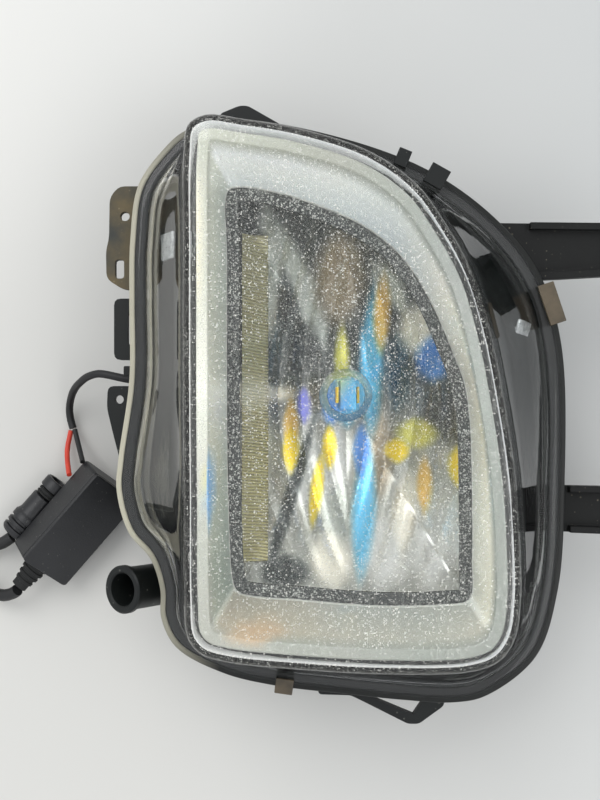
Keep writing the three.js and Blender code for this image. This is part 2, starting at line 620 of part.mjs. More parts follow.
// ---- cords, hand-set routes ----
const lampRoute = [[-57.2, 5, 26], [-62, 5, 26], [-66, 5, 26], [-70, 5.1, 26], [-74, 5.8, 26], [-78, 6.7, 25.6],
  [-81.6, 7.2, 24.6], [-84.4, 6.7, 22.8], [-86.8, 5.8, 20.4], [-89, 4.4, 17.4], [-90.8, 3.1, 14.4],
  [-92.4, 1.4, 11.4], [-93.6, -0.6, 8.6], [-94.5, -3, 6.2], [-94.9, -5.6, 4.6], [-94.6, -8.6, 3.8],
  [-93.8, -11.4, 3.9]];
const blackWireRoute = [[-93.1, -11.9, 4.5], [-92.3, -14.4, 5.6], [-91.2, -17.4, 7.6], [-89.9, -20.6, 10.4],
  [-89, -22.7, 12.5]];
const redWireRoute = [[-94.6, -12.2, 3.4], [-95.3, -15.4, 3.4], [-95.7, -19, 4.6], [-95.1, -23, 7.4],
  [-93.8, -27.2, 11.4]];
const supplyRoute = [[-111.9, -66.9, 9.9], [-113.8, -68.2, 8.6], [-117.2, -69.2, 6.8], [-120.7, -68.7, 5],
  [-123.7, -66.9, 3.5], [-125.8, -64.1, 2.6], [-126.6, -60.7, 2.4], [-126, -57.2, 2.8], [-124.2, -54.5, 3.6],
  [-121.3, -52.4, 4.5], [-117.8, -51.1, 5.3], [-114.8, -49.1, 5.7]];

// ---- the assembly ----
const plastics = (color, roughness = 0.55) => [color, roughness, 0];
const finishes = {
  black: plastics(0x1c2224), arm: plastics(0x2d2d2a), worn: plastics(0x5a584b, 0.7), clear: plastics(0xd5dfdc, 0.1),
  silver: [0xc8cdc0, 0.3, 0.8], chrome: [0xd8dcdc, 0.08, 1], tan: [0xb0a270, 0.35, 0.6], yellow: plastics(0xf2c820, 0.5),
  steel: [0xa8aaac, 0.35, 1], aluminium: [0xb4b8bc, 0.4, 1], rubber: plastics(0x151616, 0.85), red: plastics(0xdc4632, 0.5),
  smoke: plastics(0x7a6a50, 0.5),
};

const lamp = new THREE.Group();
const add = (name, geometry, finish, parent = lamp) => {
  const [color, roughness, metalness] = finishes[finish];
  const mesh = new THREE.Mesh(geometry, new THREE.MeshStandardMaterial({ color, roughness, metalness }));
  mesh.name = name;
  parent.add(mesh);
  return mesh;
};

add('housing', makeHousing(), 'black');
add('lens', makeLens(), 'clear');
add('lens_seal', makeSeal(), 'rubber');
add('inner_shroud', makeShroud(), 'black');
add('bezel', makeBezel(), 'silver');
add('aperture_frame', makeAperture(), 'black');
add('reflector', makeReflector(), 'chrome');
add('ribbed_strip', makeRibbedStrip(), 'tan');
add('bulb_carrier', makeCarrier(), 'steel');
add('bulb_collar', makeCollar(), 'aluminium');
add('bulb_stem', makeStem(), 'aluminium');
add('heat_sink', makeHeatSink(), 'aluminium');
add('fan_rotor', makeFan(), 'black');
add('adjuster_nut', makeNut(), 'smoke');
add('adjuster_screw', makeScrew(), 'steel');
add('adjuster_bush', makeBush(), 'smoke');
add('rear_cap', makeCap(), 'black');
add('cap_seal', torus((cap.bore + cap.body) / 2, (cap.bore - cap.body) / 2 - gap, housing.back + 2), 'rubber');
[['left', -1], ['right', 1]].forEach(([name, side]) => {
  add(`led_chip_${name}`, makeChip(side), 'yellow');
  add(`pivot_stud_${name}`, makePivotStud(side), 'steel');
});
add('bulb_lead', tube([[-bulb.sink - gap, 3, 24], [-26, 4, 25], [-44, leadY, leadZ], [leadWall + 5.8, leadY, leadZ]],
  lead.lamp, 8, 14), 'black');
add('cable_grommet', makeGrommet(), 'rubber');
add('vent_elbow', makeElbow(), 'black');
add('mount_ear_upper', seated(makeUpperEar()), 'worn');
add('clip_loop', seated(makeClipLoop()), 'black');
add('cable_clip', seated(makeCableClip()), 'black');
add('mount_ear_lower', seated(makeLowerEar()), 'black');
add('top_tab', seated(makeTopTab()), 'black');
add('bottom_hook', seated(makeHook()), 'black');
add('clip_top_left', makeEdgeClip(1.34, 4.2, 3, 2.6), 'black');
add('clip_top_right', makeEdgeClip(1.18, 6.4, 4, 2.6), 'black');
add('clip_right', makeEdgeClip(0.42, 13, 3, 2.2), 'smoke');
add('clip_bottom', makeEdgeClip(4.5, 5.6, 3, 1.8), 'smoke');
Object.entries(armPlace).forEach(([name, place]) => {
  add(`${name}_arm`, makeArm(place), 'arm');
});

// ---- LED driver and its leads on the table ----
const loose = new THREE.Group();
add('lamp_lead', tube(lampRoute, lead.lamp, 8, 26), 'black', loose);
add('black_wire', tube(blackWireRoute, lead.wire, 8, 6), 'black', loose);
add('red_wire', tube(redWireRoute, lead.wire, 8, 6), 'red', loose);
add('supply_lead', tube(supplyRoute, lead.supply, 8, 18), 'black', loose);

const unit = new THREE.Group();
const turn = new THREE.Group();
turn.rotation.z = THREE.MathUtils.degToRad(driver.turn);
const roll = THREE.MathUtils.degToRad(driver.roll);
unit.rotation.x = roll;
const underside = driver.width / 2 * Math.sin(roll) + driver.height / 2 * Math.cos(roll);
turn.position.set(driver.x, driver.y, underside);
turn.add(unit);
loose.add(turn);
add('driver_case', makeCase(), 'black', unit);
add('driver_lid', makeLid(), 'black', unit);
add('supply_relief', makeRelief(4.4, 10).translate(-driver.length / 2 - gap, 0, -1), 'rubber', unit);

const plug = new THREE.Group();
plug.position.set(connector.x, connector.y, connector.radius + 0.2);
plug.rotation.z = THREE.MathUtils.degToRad(connector.turn);
add('connector_body', makeConnector(), 'black', plug);
add('connector_seal', makeSleeve(connector.length / 2 + gap, 2.5, connector.tip), 'smoke', plug);
add('connector_tip', makeSleeve(connector.length / 2 + 2 * gap + 2.5, 4, connector.tip + 0.5), 'black', plug);
loose.add(plug);

// The origin is the middle of the lamp's underside, without its loose leads.
const assembly = new THREE.Group();
const extent = new THREE.Box3().setFromObject(lamp, true);
const middle = extent.getCenter(new THREE.Vector3());
assembly.position.set(-middle.x, -middle.y, -extent.min.z);
assembly.add(lamp, loose);

const group = new THREE.Group();
group.name = 'fog_light';
group.add(assembly);

export default group;
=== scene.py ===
from math import atan2, cos, pi, radians, sin

import bmesh
import bpy
import numpy as np
from mathutils import Matrix, Vector


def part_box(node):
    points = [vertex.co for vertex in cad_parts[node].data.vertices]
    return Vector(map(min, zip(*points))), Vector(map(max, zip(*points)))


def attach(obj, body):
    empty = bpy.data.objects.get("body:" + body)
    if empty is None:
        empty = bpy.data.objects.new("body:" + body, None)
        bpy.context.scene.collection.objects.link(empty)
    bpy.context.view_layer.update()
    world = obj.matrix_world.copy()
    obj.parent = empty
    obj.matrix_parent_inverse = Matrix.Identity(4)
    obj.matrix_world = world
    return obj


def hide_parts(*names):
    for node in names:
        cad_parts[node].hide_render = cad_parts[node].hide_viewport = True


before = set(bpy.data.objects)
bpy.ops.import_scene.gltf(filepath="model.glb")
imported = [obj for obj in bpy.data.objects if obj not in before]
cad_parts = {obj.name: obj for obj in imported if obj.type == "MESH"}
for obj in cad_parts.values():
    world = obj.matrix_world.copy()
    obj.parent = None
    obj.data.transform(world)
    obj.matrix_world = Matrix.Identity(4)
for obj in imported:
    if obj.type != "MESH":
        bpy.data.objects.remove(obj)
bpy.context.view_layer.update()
mm = 0.001

# the lamp's own axis runs through the middle of the bulb's heat sink
sinkLow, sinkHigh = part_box("heat_sink")
lampAxis = Vector(((sinkLow[0] + sinkHigh[0]) / 2, (sinkLow[1] + sinkHigh[1]) / 2, 0))
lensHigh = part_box("lens")[1]


def place(x, y, z=0.0):  # millimetres from the lamp's axis and underside, to metres in the frame
    return Vector((lampAxis.x + x * mm, lampAxis.y + y * mm, z * mm))


# camera, straight over the lens
cameraSetup = {"over": (-14.7, -1.55), "aboveFace": 0.36, "frameHeight": 0.224, "sensor": 36}


def makeCamera(setup):
    camera = bpy.data.cameras.new("camera")
    camera.sensor_fit = "VERTICAL"
    camera.sensor_height = setup["sensor"]
    camera.lens = setup["sensor"] * setup["aboveFace"] / setup["frameHeight"]
    holder = bpy.data.objects.new("camera", camera)
    holder.location = place(*setup["over"])
    holder.location.z = lensHigh[2] + setup["aboveFace"]
    bpy.context.scene.collection.objects.link(holder)
    bpy.context.scene.camera = holder


makeCamera(cameraSetup)
bpy.context.scene.view_settings.view_transform = "Standard"
print("camera ready")


# colours are written as they look on a screen
def linear(colour):
    parts = np.asarray(colour, dtype=float) / 255
    return np.where(parts <= 0.04045, parts / 12.92, ((parts + 0.055) / 1.055) ** 2.4)


def shade(colour):
    return (*linear(colour), 1.0)


def put(tree, kind, values=(), **settings):
    made = tree.nodes.new("ShaderNode" + kind)
    for key, value in settings.items():
        setattr(made, key, value)
    for key, value in dict(values).items():
        if isinstance(value, bpy.types.NodeSocket):
            tree.links.new(value, made.inputs[key])
        else:
            made.inputs[key].default_value = value
    return made


def mixColour(tree, share, first, second):
    return put(tree, "Mix", {0: share, 6: first, 7: second}, data_type="RGBA").outputs[2]


def maths(tree, operation, first, second=0.0):
    return put(tree, "Math", {0: first, 1: second}, operation=operation).outputs[0]


def between(tree, value, low, high, outLow=0.0, outHigh=1.0):
    settings = {"Value": value, "From Min": low, "From Max": high, "To Min": outLow, "To Max": outHigh}
    return put(tree, "MapRange", settings).outputs[0]


def makeGroup(name, inputs, outputs, build):
    tree = bpy.data.node_groups.new(name, "ShaderNodeTree")
    for label, kind, value in inputs:
        made = tree.interface.new_socket(label, in_out="INPUT", socket_type="NodeSocket" + kind)
        if value is not None:
            made.default_value = value
    for label, kind in outputs:
        tree.interface.new_socket(label, in_out="OUTPUT", socket_type="NodeSocket" + kind)
    entry = tree.nodes.new("NodeGroupInput").outputs
    leave = tree.nodes.new("NodeGroupOutput").inputs
    build(tree, entry, leave)
    return tree


def buildSpecks(tree, entry, leave):  # round grains of dust, some cells only
    cells = put(tree, "TexVoronoi", {"Vector": entry["Vector"], "Scale": entry["Scale"]}, feature="F1")
    chance = put(tree, "SeparateColor", {"Color": cells.outputs["Color"]})
    taken = maths(tree, "LESS_THAN", chance.outputs[0], entry["Cover"])
    size = maths(tree, "MULTIPLY", between(tree, chance.outputs[1], 0, 1, 0.1, 0.42), entry["Size"])
    dot = between(tree, maths(tree, "DIVIDE", cells.outputs["Distance"], size), 1.0, 0.55)
    tree.links.new(maths(tree, "MULTIPLY", dot, taken), leave["Mask"])


def buildScratches(tree, entry, leave):  # hair lines along one way, broken up
    turned = put(tree, "Mapping", {"Vector": entry["Vector"], "Rotation": entry["Turn"], "Scale": (1, 0.035, 1)})
    hair = put(tree, "TexNoise", {"Vector": turned.outputs[0], "Scale": entry["Scale"], "Detail": 2.0})
    away = maths(tree, "ABSOLUTE", maths(tree, "SUBTRACT", hair.outputs[0], 0.5))
    line = between(tree, away, 0.014, 0.003)
    breaks = put(tree, "TexNoise", {"Vector": entry["Vector"], "Scale": maths(tree, "MULTIPLY", entry["Scale"], 0.35)})
    kept = between(tree, breaks.outputs[0], maths(tree, "SUBTRACT", 1.0, entry["Cover"]), 0.95)
    tree.links.new(maths(tree, "MULTIPLY", line, kept), leave["Mask"])


def buildDrift(tree, entry, leave):  # slow change of tone
    cloud = put(tree, "TexNoise", {"Vector": entry["Vector"], "Scale": entry["Scale"], "Detail": 4.0})
    tree.links.new(between(tree, cloud.outputs[0], 0.3, 0.7), leave["Mask"])


def buildGrain(tree, entry, leave):  # moulded grain
    fine = put(tree, "TexNoise", {"Vector": entry["Vector"], "Scale": entry["Scale"], "Detail": 3.0})
    cells = put(tree, "TexVoronoi", {"Vector": entry["Vector"], "Scale": maths(tree, "MULTIPLY", entry["Scale"], 0.6)})
    both = maths(tree, "MULTIPLY", fine.outputs[0], maths(tree, "ADD", cells.outputs["Distance"], 0.4))
    tree.links.new(both, leave["Height"])


coverInputs = [("Vector", "Vector", None), ("Scale", "Float", 1000.0), ("Cover", "Float", 0.5)]
plainInputs = [("Vector", "Vector", None), ("Scale", "Float", 100.0)]
dustSpecks = makeGroup("dustSpecks", coverInputs + [("Size", "Float", 1.0)], [("Mask", "Float")], buildSpecks)
hairScratches = makeGroup("hairScratches", coverInputs + [("Turn", "Vector", None)], [("Mask", "Float")], buildScratches)
toneDrift = makeGroup("toneDrift", plainInputs, [("Mask", "Float")], buildDrift)
mouldGrain = makeGroup("mouldGrain", plainInputs, [("Height", "Float")], buildGrain)


def use(tree, group, values):
    made = tree.nodes.new("ShaderNodeGroup")
    made.node_tree = group
    for key, value in values.items():
        if isinstance(value, bpy.types.NodeSocket):
            tree.links.new(value, made.inputs[key])
        else:
            made.inputs[key].default_value = value
    return made.outputs[0]


def startMaterial(name):
    material = bpy.data.materials.new(name)
    material.use_nodes = True
    tree = material.node_tree
    tree.nodes.clear()
    leave = tree.nodes.new("ShaderNodeOutputMaterial")
    return material, tree, leave.inputs["Surface"]


def objectPlace(tree):
    return put(tree, "TexCoord").outputs["Object"]


# one row for each finish: two tones, dust, gloss and grain
finishes = {
    "housingBlack": {"dark": (16, 19, 19), "light": (28, 31, 30), "specular": 0.3, "drift": 35, "dust": (150, 150, 140),
                     "cover": 0.1, "speck": 900, "rough": (0.38, 0.55), "grain": 1500, "depth": 0.05},
    "speckledBlack": {"dark": (30, 34, 33), "light": (46, 50, 47), "drift": 90, "dust": (236, 238, 230), "cover": 0.62,
                      "speck": 2000, "size": 1.7, "rough": (0.55, 0.7), "grain": 2200, "depth": 0.08},
    "shroudBlack": {"dark": (10, 14, 14), "light": (20, 25, 24), "specular": 0.22, "drift": 50, "dust": (130, 138, 132),
                    "cover": 0.08, "speck": 800, "rough": (0.3, 0.5), "grain": 1200, "depth": 0.05},
    "armPlastic": {"dark": (15, 16, 16), "light": (27, 28, 27), "specular": 0.25, "drift": 60, "dust": (130, 124, 108),
                   "cover": 0.12, "speck": 1100, "rough": (0.5, 0.65), "grain": 1300, "depth": 0.12},
    "wornPlastic": {"dark": (44, 46, 40), "light": (104, 92, 66), "drift": 110, "dust": (160, 148, 120),
                    "cover": 0.16, "speck": 1200, "rough": (0.5, 0.75), "grain": 1500, "depth": 0.15},
    "caseBlack": {"dark": (22, 23, 25), "light": (36, 37, 39), "drift": 80, "dust": (120, 118, 112),
                  "cover": 0.08, "speck": 1500, "rough": (0.35, 0.5), "grain": 2200, "depth": 0.12},
    "sealRubber": {"dark": (18, 19, 19), "light": (32, 33, 32), "drift": 150, "dust": (96, 94, 88),
                   "cover": 0.1, "speck": 1600, "rough": (0.7, 0.85), "grain": 2600, "depth": 0.1},
    "cableBlack": {"dark": (20, 21, 22), "light": (34, 34, 35), "drift": 120, "dust": (90, 90, 88),
                   "cover": 0.06, "speck": 2000, "rough": (0.45, 0.6), "grain": 3000, "depth": 0.08},
    "cableRed": {"dark": (196, 52, 36), "light": (224, 78, 56), "drift": 160, "dust": (120, 40, 30),
                 "cover": 0.06, "speck": 2000, "rough": (0.4, 0.55), "grain": 3000, "depth": 0.05},
    "smokePlastic": {"dark": (66, 58, 45), "light": (104, 92, 72), "drift": 140, "dust": (170, 160, 140),
                     "cover": 0.08, "speck": 1600, "rough": (0.35, 0.5), "grain": 2000, "depth": 0.06},
    "ledYellow": {"dark": (232, 178, 20), "light": (250, 214, 48), "drift": 300, "dust": (255, 236, 150),
                  "cover": 0.2, "speck": 4000, "rough": (0.4, 0.5), "grain": 3000, "depth": 0.05},
    "foilPad": {"dark": (186, 192, 194), "light": (250, 252, 252), "drift": 700, "dust": (70, 74, 76),
                "cover": 0.25, "speck": 1500, "rough": (0.25, 0.5), "grain": 700, "depth": 0.6, "metal": 0.4},
    "steelPlate": {"dark": (140, 142, 142), "light": (184, 186, 186), "drift": 130, "dust": (96, 84, 66),
                   "cover": 0.08, "speck": 1400, "rough": (0.28, 0.45), "grain": 2600, "depth": 0.05, "metal": 1.0},
    "bareAluminium": {"dark": (158, 161, 163), "light": (196, 198, 200), "drift": 100, "dust": (110, 108, 104),
                      "cover": 0.07, "speck": 1500, "rough": (0.3, 0.48), "grain": 2400, "depth": 0.06, "metal": 1.0},
}


def makeFinish(name, look):
    material, tree, surface = startMaterial(name)
    where = objectPlace(tree)
    drift = use(tree, toneDrift, {"Vector": where, "Scale": look["drift"]})
    specks = use(tree, dustSpecks, {"Vector": where, "Scale": look["speck"], "Cover": look["cover"],
                                    "Size": look.get("size", 1.0)})
    cloud = use(tree, toneDrift, {"Vector": where, "Scale": look["drift"] * 0.4})
    colour = mixColour(tree, drift, shade(look["dark"]), shade(look["light"]))
    dusty = maths(tree, "MULTIPLY", specks, maths(tree, "MULTIPLY", cloud, 0.7))
    colour = mixColour(tree, dusty, colour, shade(look["dust"]))
    rough = between(tree, drift, 0, 1, *look["rough"])
    height = use(tree, mouldGrain, {"Vector": where, "Scale": look["grain"]})
    bump = put(tree, "Bump", {"Height": height, "Strength": look["depth"], "Distance": 0.0004})
    shader = put(tree, "BsdfPrincipled", {"Base Color": colour, "Roughness": rough, "Normal": bump.outputs[0],
                                          "Metallic": look.get("metal", 0.0),
                                          "Specular IOR Level": look.get("specular", 0.5)})
    tree.links.new(shader.outputs[0], surface)
    return material


materials = {name: makeFinish(name, look) for name, look in finishes.items()}

# painted metal: the tone comes from the piece's own attribute, which carries painted light, shade and reflections
coatings = {
    "silverTrim": {"metal": 0.0, "rough": (0.3, 0.42), "speck": 2200, "cover": 0.3, "dust": (252, 252, 248),
                   "speckShare": 0.2, "pit": (120, 124, 120), "coat": 0.3},
    "mirrorCoat": {"metal": 0.45, "rough": (0.2, 0.34), "speck": 1900, "cover": 0.1, "dust": (225, 222, 205),
                   "speckShare": 0.25, "pit": (60, 62, 58), "coat": 0.4},
    "tanCoat": {"metal": 0.35, "rough": (0.3, 0.45), "speck": 1300, "cover": 0.1, "dust": (225, 220, 190),
                "speckShare": 0.3, "pit": (90, 84, 56), "coat": 0.3},
}


def makeCoating(name, look):
    material, tree, surface = startMaterial(name)
    where = objectPlace(tree)
    # the tone attribute holds the colour with its painted light, shade and reflections
    tone = put(tree, "Attribute", attribute_name="tone").outputs["Color"]
    bright = use(tree, dustSpecks, {"Vector": where, "Scale": look["speck"], "Cover": look["cover"], "Size": 1.4})
    pits = use(tree, dustSpecks, {"Vector": where, "Scale": look["speck"] * 0.8, "Cover": look["cover"] * 0.6, "Size": 1.4})
    drift = use(tree, toneDrift, {"Vector": where, "Scale": 140})
    colour = mixColour(tree, maths(tree, "MULTIPLY", pits, look["speckShare"]), tone, shade(look["pit"]))
    colour = mixColour(tree, maths(tree, "MULTIPLY", bright, look["speckShare"]), colour, shade(look["dust"]))
    rough = between(tree, drift, 0, 1, *look["rough"])
    height = use(tree, mouldGrain, {"Vector": where, "Scale": 1600})
    bump = put(tree, "Bump", {"Height": height, "Strength": 0.06, "Distance": 0.0003})
    shader = put(tree, "BsdfPrincipled", {"Base Color": colour, "Roughness": rough, "Metallic": look["metal"],
                                          "Coat Weight": look["coat"], "Normal": bump.outputs[0]})
    tree.links.new(shader.outputs[0], surface)
    return material


materials.update({name: makeCoating(name, look) for name, look in coatings.items()})

# the lens: clear, with an edge band painted pale on the left as a painted highlight and dark round the rest as a
# painted dark reflection, and a worn skin over its front
clearLook = {"tint": (255, 255, 255), "rough": 0.02, "index": 1.36, "highlightBand": (214, 210, 190), "highlightBandRough": 0.35,
             "smoke": (34, 36, 34), "fade": (-0.085, -0.055), "drift": (250, 253, 252), "shadow": (0.985, 0.99, 0.985, 1)}
wearLook = {"colour": (236, 236, 228), "haze": 0.01, "specks": 1900, "cover": 0.34, "fine": 2900, "fineCover": 0.3,
            "grain": 1.5, "scratches": 260, "speckShare": 0.5, "fineShare": 0.36, "scratchShare": 0.12}


def makeClear(name, look, paintedBand):
    material, tree, surface = startMaterial(name)
    where = objectPlace(tree)
    drift = use(tree, toneDrift, {"Vector": where, "Scale": 60})
    colour = mixColour(tree, drift, shade(look["tint"]), shade(look["drift"]))
    if paintedBand:  # pale on the left as a painted highlight, dark round the rest as a painted dark reflection
        share = between(tree, put(tree, "SeparateXYZ", {"Vector": where}).outputs[0], *look["fade"])
        colour = mixColour(tree, share, shade(look["highlightBand"]), shade(look["smoke"]))
    grain = use(tree, mouldGrain, {"Vector": where, "Scale": 500})
    bump = put(tree, "Bump", {"Height": grain, "Strength": 0.03, "Distance": 0.0003})
    values = {"Base Color": colour, "Roughness": look["highlightBandRough" if paintedBand else "rough"], "IOR": look["index"],
              "Transmission Weight": 0.35 if paintedBand else 1.0, "Normal": bump.outputs[0]}
    shader = put(tree, "BsdfPrincipled", values)
    through = put(tree, "BsdfTransparent", {"Color": look["shadow"]})
    ray = put(tree, "LightPath")
    mixed = put(tree, "MixShader", {0: ray.outputs["Is Shadow Ray"], 1: shader.outputs[0], 2: through.outputs[0]})
    tree.links.new(mixed.outputs[0], surface)
    return material


def makeWear(name, look):
    material, tree, surface = startMaterial(name)
    where = objectPlace(tree)
    coarse = use(tree, dustSpecks, {"Vector": where, "Scale": look["specks"], "Cover": look["cover"], "Size": look["grain"]})
    fine = use(tree, dustSpecks, {"Vector": where, "Scale": look["fine"], "Cover": look["fineCover"], "Size": look["grain"]})
    first = use(tree, hairScratches, {"Vector": where, "Scale": look["scratches"], "Cover": 0.55, "Turn": (0, 0, radians(-38))})
    second = use(tree, hairScratches, {"Vector": where, "Scale": look["scratches"] * 1.4, "Cover": 0.5,
                                       "Turn": (0, 0, radians(62))})
    cloud = use(tree, toneDrift, {"Vector": where, "Scale": 45})
    amount = put(tree, "Attribute", attribute_name="wear").outputs["Fac"]
    specks = maths(tree, "ADD", maths(tree, "MULTIPLY", coarse, look["speckShare"]),
                   maths(tree, "MULTIPLY", fine, look["fineShare"]))
    specks = maths(tree, "MULTIPLY", specks, between(tree, cloud, 0, 1, 0.45, 1.0))
    hairs = maths(tree, "MULTIPLY", maths(tree, "ADD", first, second), look["scratchShare"])
    whole = maths(tree, "ADD", maths(tree, "ADD", specks, hairs), look["haze"])
    alpha = put(tree, "Math", {0: whole, 1: amount}, operation="MULTIPLY", use_clamp=True).outputs[0]
    shader = put(tree, "BsdfPrincipled", {"Base Color": shade(look["colour"]), "Roughness": 0.6, "Alpha": alpha})
    tree.links.new(shader.outputs[0], surface)
    return material


materials["clearLens"] = makeClear("clearLens", clearLook, False)
materials["bandHighlightAndShade"] = makeClear("bandHighlightAndShade", clearLook, True)
materials["lensWear"] = makeWear("lensWear", wearLook)
print("materials ready:", len(materials))


# pieces
def keep(bm, name, body, materialNames, replaced=(), flat=30, modifiers=()):
    mesh = bpy.data.meshes.new(name)
    bmesh.ops.recalc_face_normals(bm, faces=bm.faces[:])
    bm.to_mesh(mesh)
    bm.free()
    return keepMesh(mesh, name, body, materialNames, replaced, flat, modifiers)


def keepMesh(mesh, name, body, materialNames, replaced=(), flat=30, modifiers=()):
    for materialName in materialNames:
        mesh.materials.append(materials[materialName])
    mesh.shade_smooth()
    mesh.set_sharp_from_angle(angle=radians(flat))
    made = bpy.data.objects.new(name, mesh)
    bpy.context.scene.collection.objects.link(made)
    for kind, settings in modifiers:
        modifier = made.modifiers.new(kind.lower(), kind)
        for key, value in settings.items():
            setattr(modifier, key, value)
    if replaced:
        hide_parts(*replaced)
    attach(made, body)
    return made


def edgeRound(width, segments=2, angle=35):
    return ("BEVEL", {"width": width * mm, "segments": segments, "limit_method": "ANGLE", "angle_limit": radians(angle),
                      "harden_normals": False})


def finishedCopy(node, body, materialName, width=0.3, angle=35):
    bm = bmesh.new()
    bm.from_mesh(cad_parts[node].data)
    bmesh.ops.remove_doubles(bm, verts=bm.verts[:], dist=0.00002)
    bmesh.ops.dissolve_limit(bm, angle_limit=radians(1.5), verts=bm.verts[:], edges=bm.edges[:])
    rounding = [edgeRound(width, 2, angle)] if width else []
    return keep(bm, f"{node}_piece", body, [materialName], [node], modifiers=rounding)


# free leads, laid as the solids of the frame lie
leads = {
    "lamp": {"route": [(-57.2, 5, 26), (-62, 5, 26), (-66, 5, 26), (-70, 5.1, 26), (-74, 5.8, 26), (-78, 6.7, 25.6),
                       (-81.6, 7.2, 24.6), (-84.4, 6.7, 22.8), (-86.8, 5.8, 20.4), (-89, 4.4, 17.4),
                       (-90.8, 3.1, 14.4), (-92.4, 1.4, 11.4), (-93.6, -0.6, 8.6), (-94.5, -3, 6.2),
                       (-94.9, -5.6, 4.6), (-94.6, -8.6, 3.8), (-93.8, -11.4, 3.9)], "radius": 1.3},
    "black": {"route": [(-93.1, -11.9, 4.5), (-92.3, -14.4, 5.6), (-91.2, -17.4, 7.6), (-89.9, -20.6, 10.4),
                        (-89, -22.7, 12.5)], "radius": 0.9},
    "red": {"route": [(-94.6, -12.2, 3.4), (-95.3, -15.4, 3.4), (-95.7, -19, 4.6), (-95.1, -23, 7.4),
                      (-93.8, -27.2, 11.4)], "radius": 0.9},
    "supply": {"route": [(-111.9, -66.9, 9.9), (-113.8, -68.2, 8.6), (-117.2, -69.2, 6.8), (-120.7, -68.7, 5),
                         (-123.7, -66.9, 3.5), (-125.8, -64.1, 2.6), (-126.6, -60.7, 2.4), (-126, -57.2, 2.8),
                         (-124.2, -54.5, 3.6), (-121.3, -52.4, 4.5), (-117.8, -51.1, 5.3), (-114.8, -49.1, 5.7)],
               "radius": 2.1},
}


def makeLead(name, lead, materialName, node):
    line = bpy.data.curves.new(name, "CURVE")
    line.dimensions = "3D"
    line.bevel_depth = lead["radius"] * mm
    line.bevel_resolution = 5
    line.use_fill_caps = True
    spline = line.splines.new("POLY")
    spline.points.add(len(lead["route"]) - 1)
    for point, where in zip(spline.points, lead["route"]):
        point.co = (*place(*where), 1)
    line.materials.append(materials[materialName])
    made = bpy.data.objects.new(name, line)
    bpy.context.scene.collection.objects.link(made)
    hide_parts(node)
    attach(made, "lamp")
    return made


def smoothRoute(route, steps=3):  # a rounder line through the same points
    points = [Vector(p) for p in route]
    points = [points[0] * 2 - points[1], *points, points[-1] * 2 - points[-2]]
    laid = []
    for a, b, c, d in zip(points, points[1:], points[2:], points[3:]):
        for step in range(steps):
            t = step / steps
            laid.append(0.5 * ((2 * b) + (c - a) * t + (2 * a - 5 * b + 4 * c - d) * t * t + (3 * b - a - 3 * c + d) * t ** 3))
    return [tuple(p) for p in [*laid, points[-2]]]


for lead in leads.values():
    lead["route"] = smoothRoute(lead["route"], 2)
lampLead = makeLead("lamp_lead_piece", leads["lamp"], "cableBlack", "lamp_lead")
blackWire = makeLead("black_wire_piece", leads["black"], "cableBlack", "black_wire")
redWire = makeLead("red_wire_piece", leads["red"], "cableRed", "red_wire")
supplyLead = makeLead("supply_lead_piece", leads["supply"], "cableBlack", "supply_lead")

driverCase = finishedCopy("driver_case", "lamp", "caseBlack", 0.5, 30)
driverLid = finishedCopy("driver_lid", "lamp", "caseBlack", 0.5, 30)

plugSetup = {"at": (-108.5, -41.9, 5.7), "turn": 49, "ribs": [(-8.5, 4.2), (-8.1, 4.9), (-7.2, 5.5), (-6.2, 5.5), (-5.9, 4.7),
             (-5.1, 4.7), (-4.8, 5.5), (-3.7, 5.5), (-3.4, 4.7), (-2.6, 4.7), (-2.3, 5.5), (-0.4, 5.5), (0.1, 5.1),
             (1.2, 4.7), (8.2, 4.6), (8.5, 4.2)]}


def spun(profile, steps=48):  # (along X, radius) pairs turned about X, closed at both ends
    bm = bmesh.new()
    line = [bm.verts.new((x, 0, radius)) for x, radius in [(profile[0][0], 0), *profile, (profile[-1][0], 0)]]
    edges = [bm.edges.new(pair) for pair in zip(line, line[1:])]
    bmesh.ops.spin(bm, geom=line + edges, cent=(0, 0, 0), axis=(1, 0, 0), angle=2 * pi, steps=steps, use_merge=True)
    bmesh.ops.remove_doubles(bm, verts=bm.verts[:], dist=0.001)
    return bm


def laidAt(bm, where, turn, tilt=None):  # millimetres to the frame
    move = Matrix.Translation(place(*where)) @ Matrix.Rotation(radians(turn), 4, "Z") @ (tilt or Matrix.Identity(4))
    bmesh.ops.transform(bm, matrix=move @ Matrix.Scale(mm, 4), verts=bm.verts[:])
    return bm


connectorBody = keep(laidAt(spun(plugSetup["ribs"]), plugSetup["at"], plugSetup["turn"]), "connector_body_piece", "lamp",
                     ["caseBlack"], ["connector_body"], 40)
sealRibs = [(8.8, 3.7), (9.1, 4.2), (9.6, 4.2), (9.8, 3.8), (10.1, 3.8), (10.3, 4.2), (10.8, 4.2), (11.3, 3.7)]
connectorSeal = keep(laidAt(spun(sealRibs), plugSetup["at"], plugSetup["turn"]), "connector_seal_piece", "lamp",
                     ["sealRubber"], ["connector_seal"], 40)
tipShape = [(11.6, 4.3), (11.9, 4.7), (15.1, 4.7), (15.6, 4.3), (15.6, 3.2), (13.6, 3.0)]
connectorTip = keep(laidAt(spun(tipShape), plugSetup["at"], plugSetup["turn"]), "connector_tip_piece", "lamp",
                    ["caseBlack"], ["connector_tip"], 40)

reliefSetup = {"at": (-91.8, -43.8), "turn": 49, "roll": 35, "start": -19.3, "drop": -1,
               "rings": [(0, 4.4), (0.8, 4.4), (1.1, 3.7), (1.9, 3.7), (2.2, 4.1), (3.0, 4.0), (3.3, 3.4), (4.1, 3.3),
                         (4.4, 3.7), (5.2, 3.6), (5.5, 3.0), (6.3, 2.9), (6.6, 3.3), (7.4, 3.2), (7.7, 2.75), (9.9, 2.7)]}


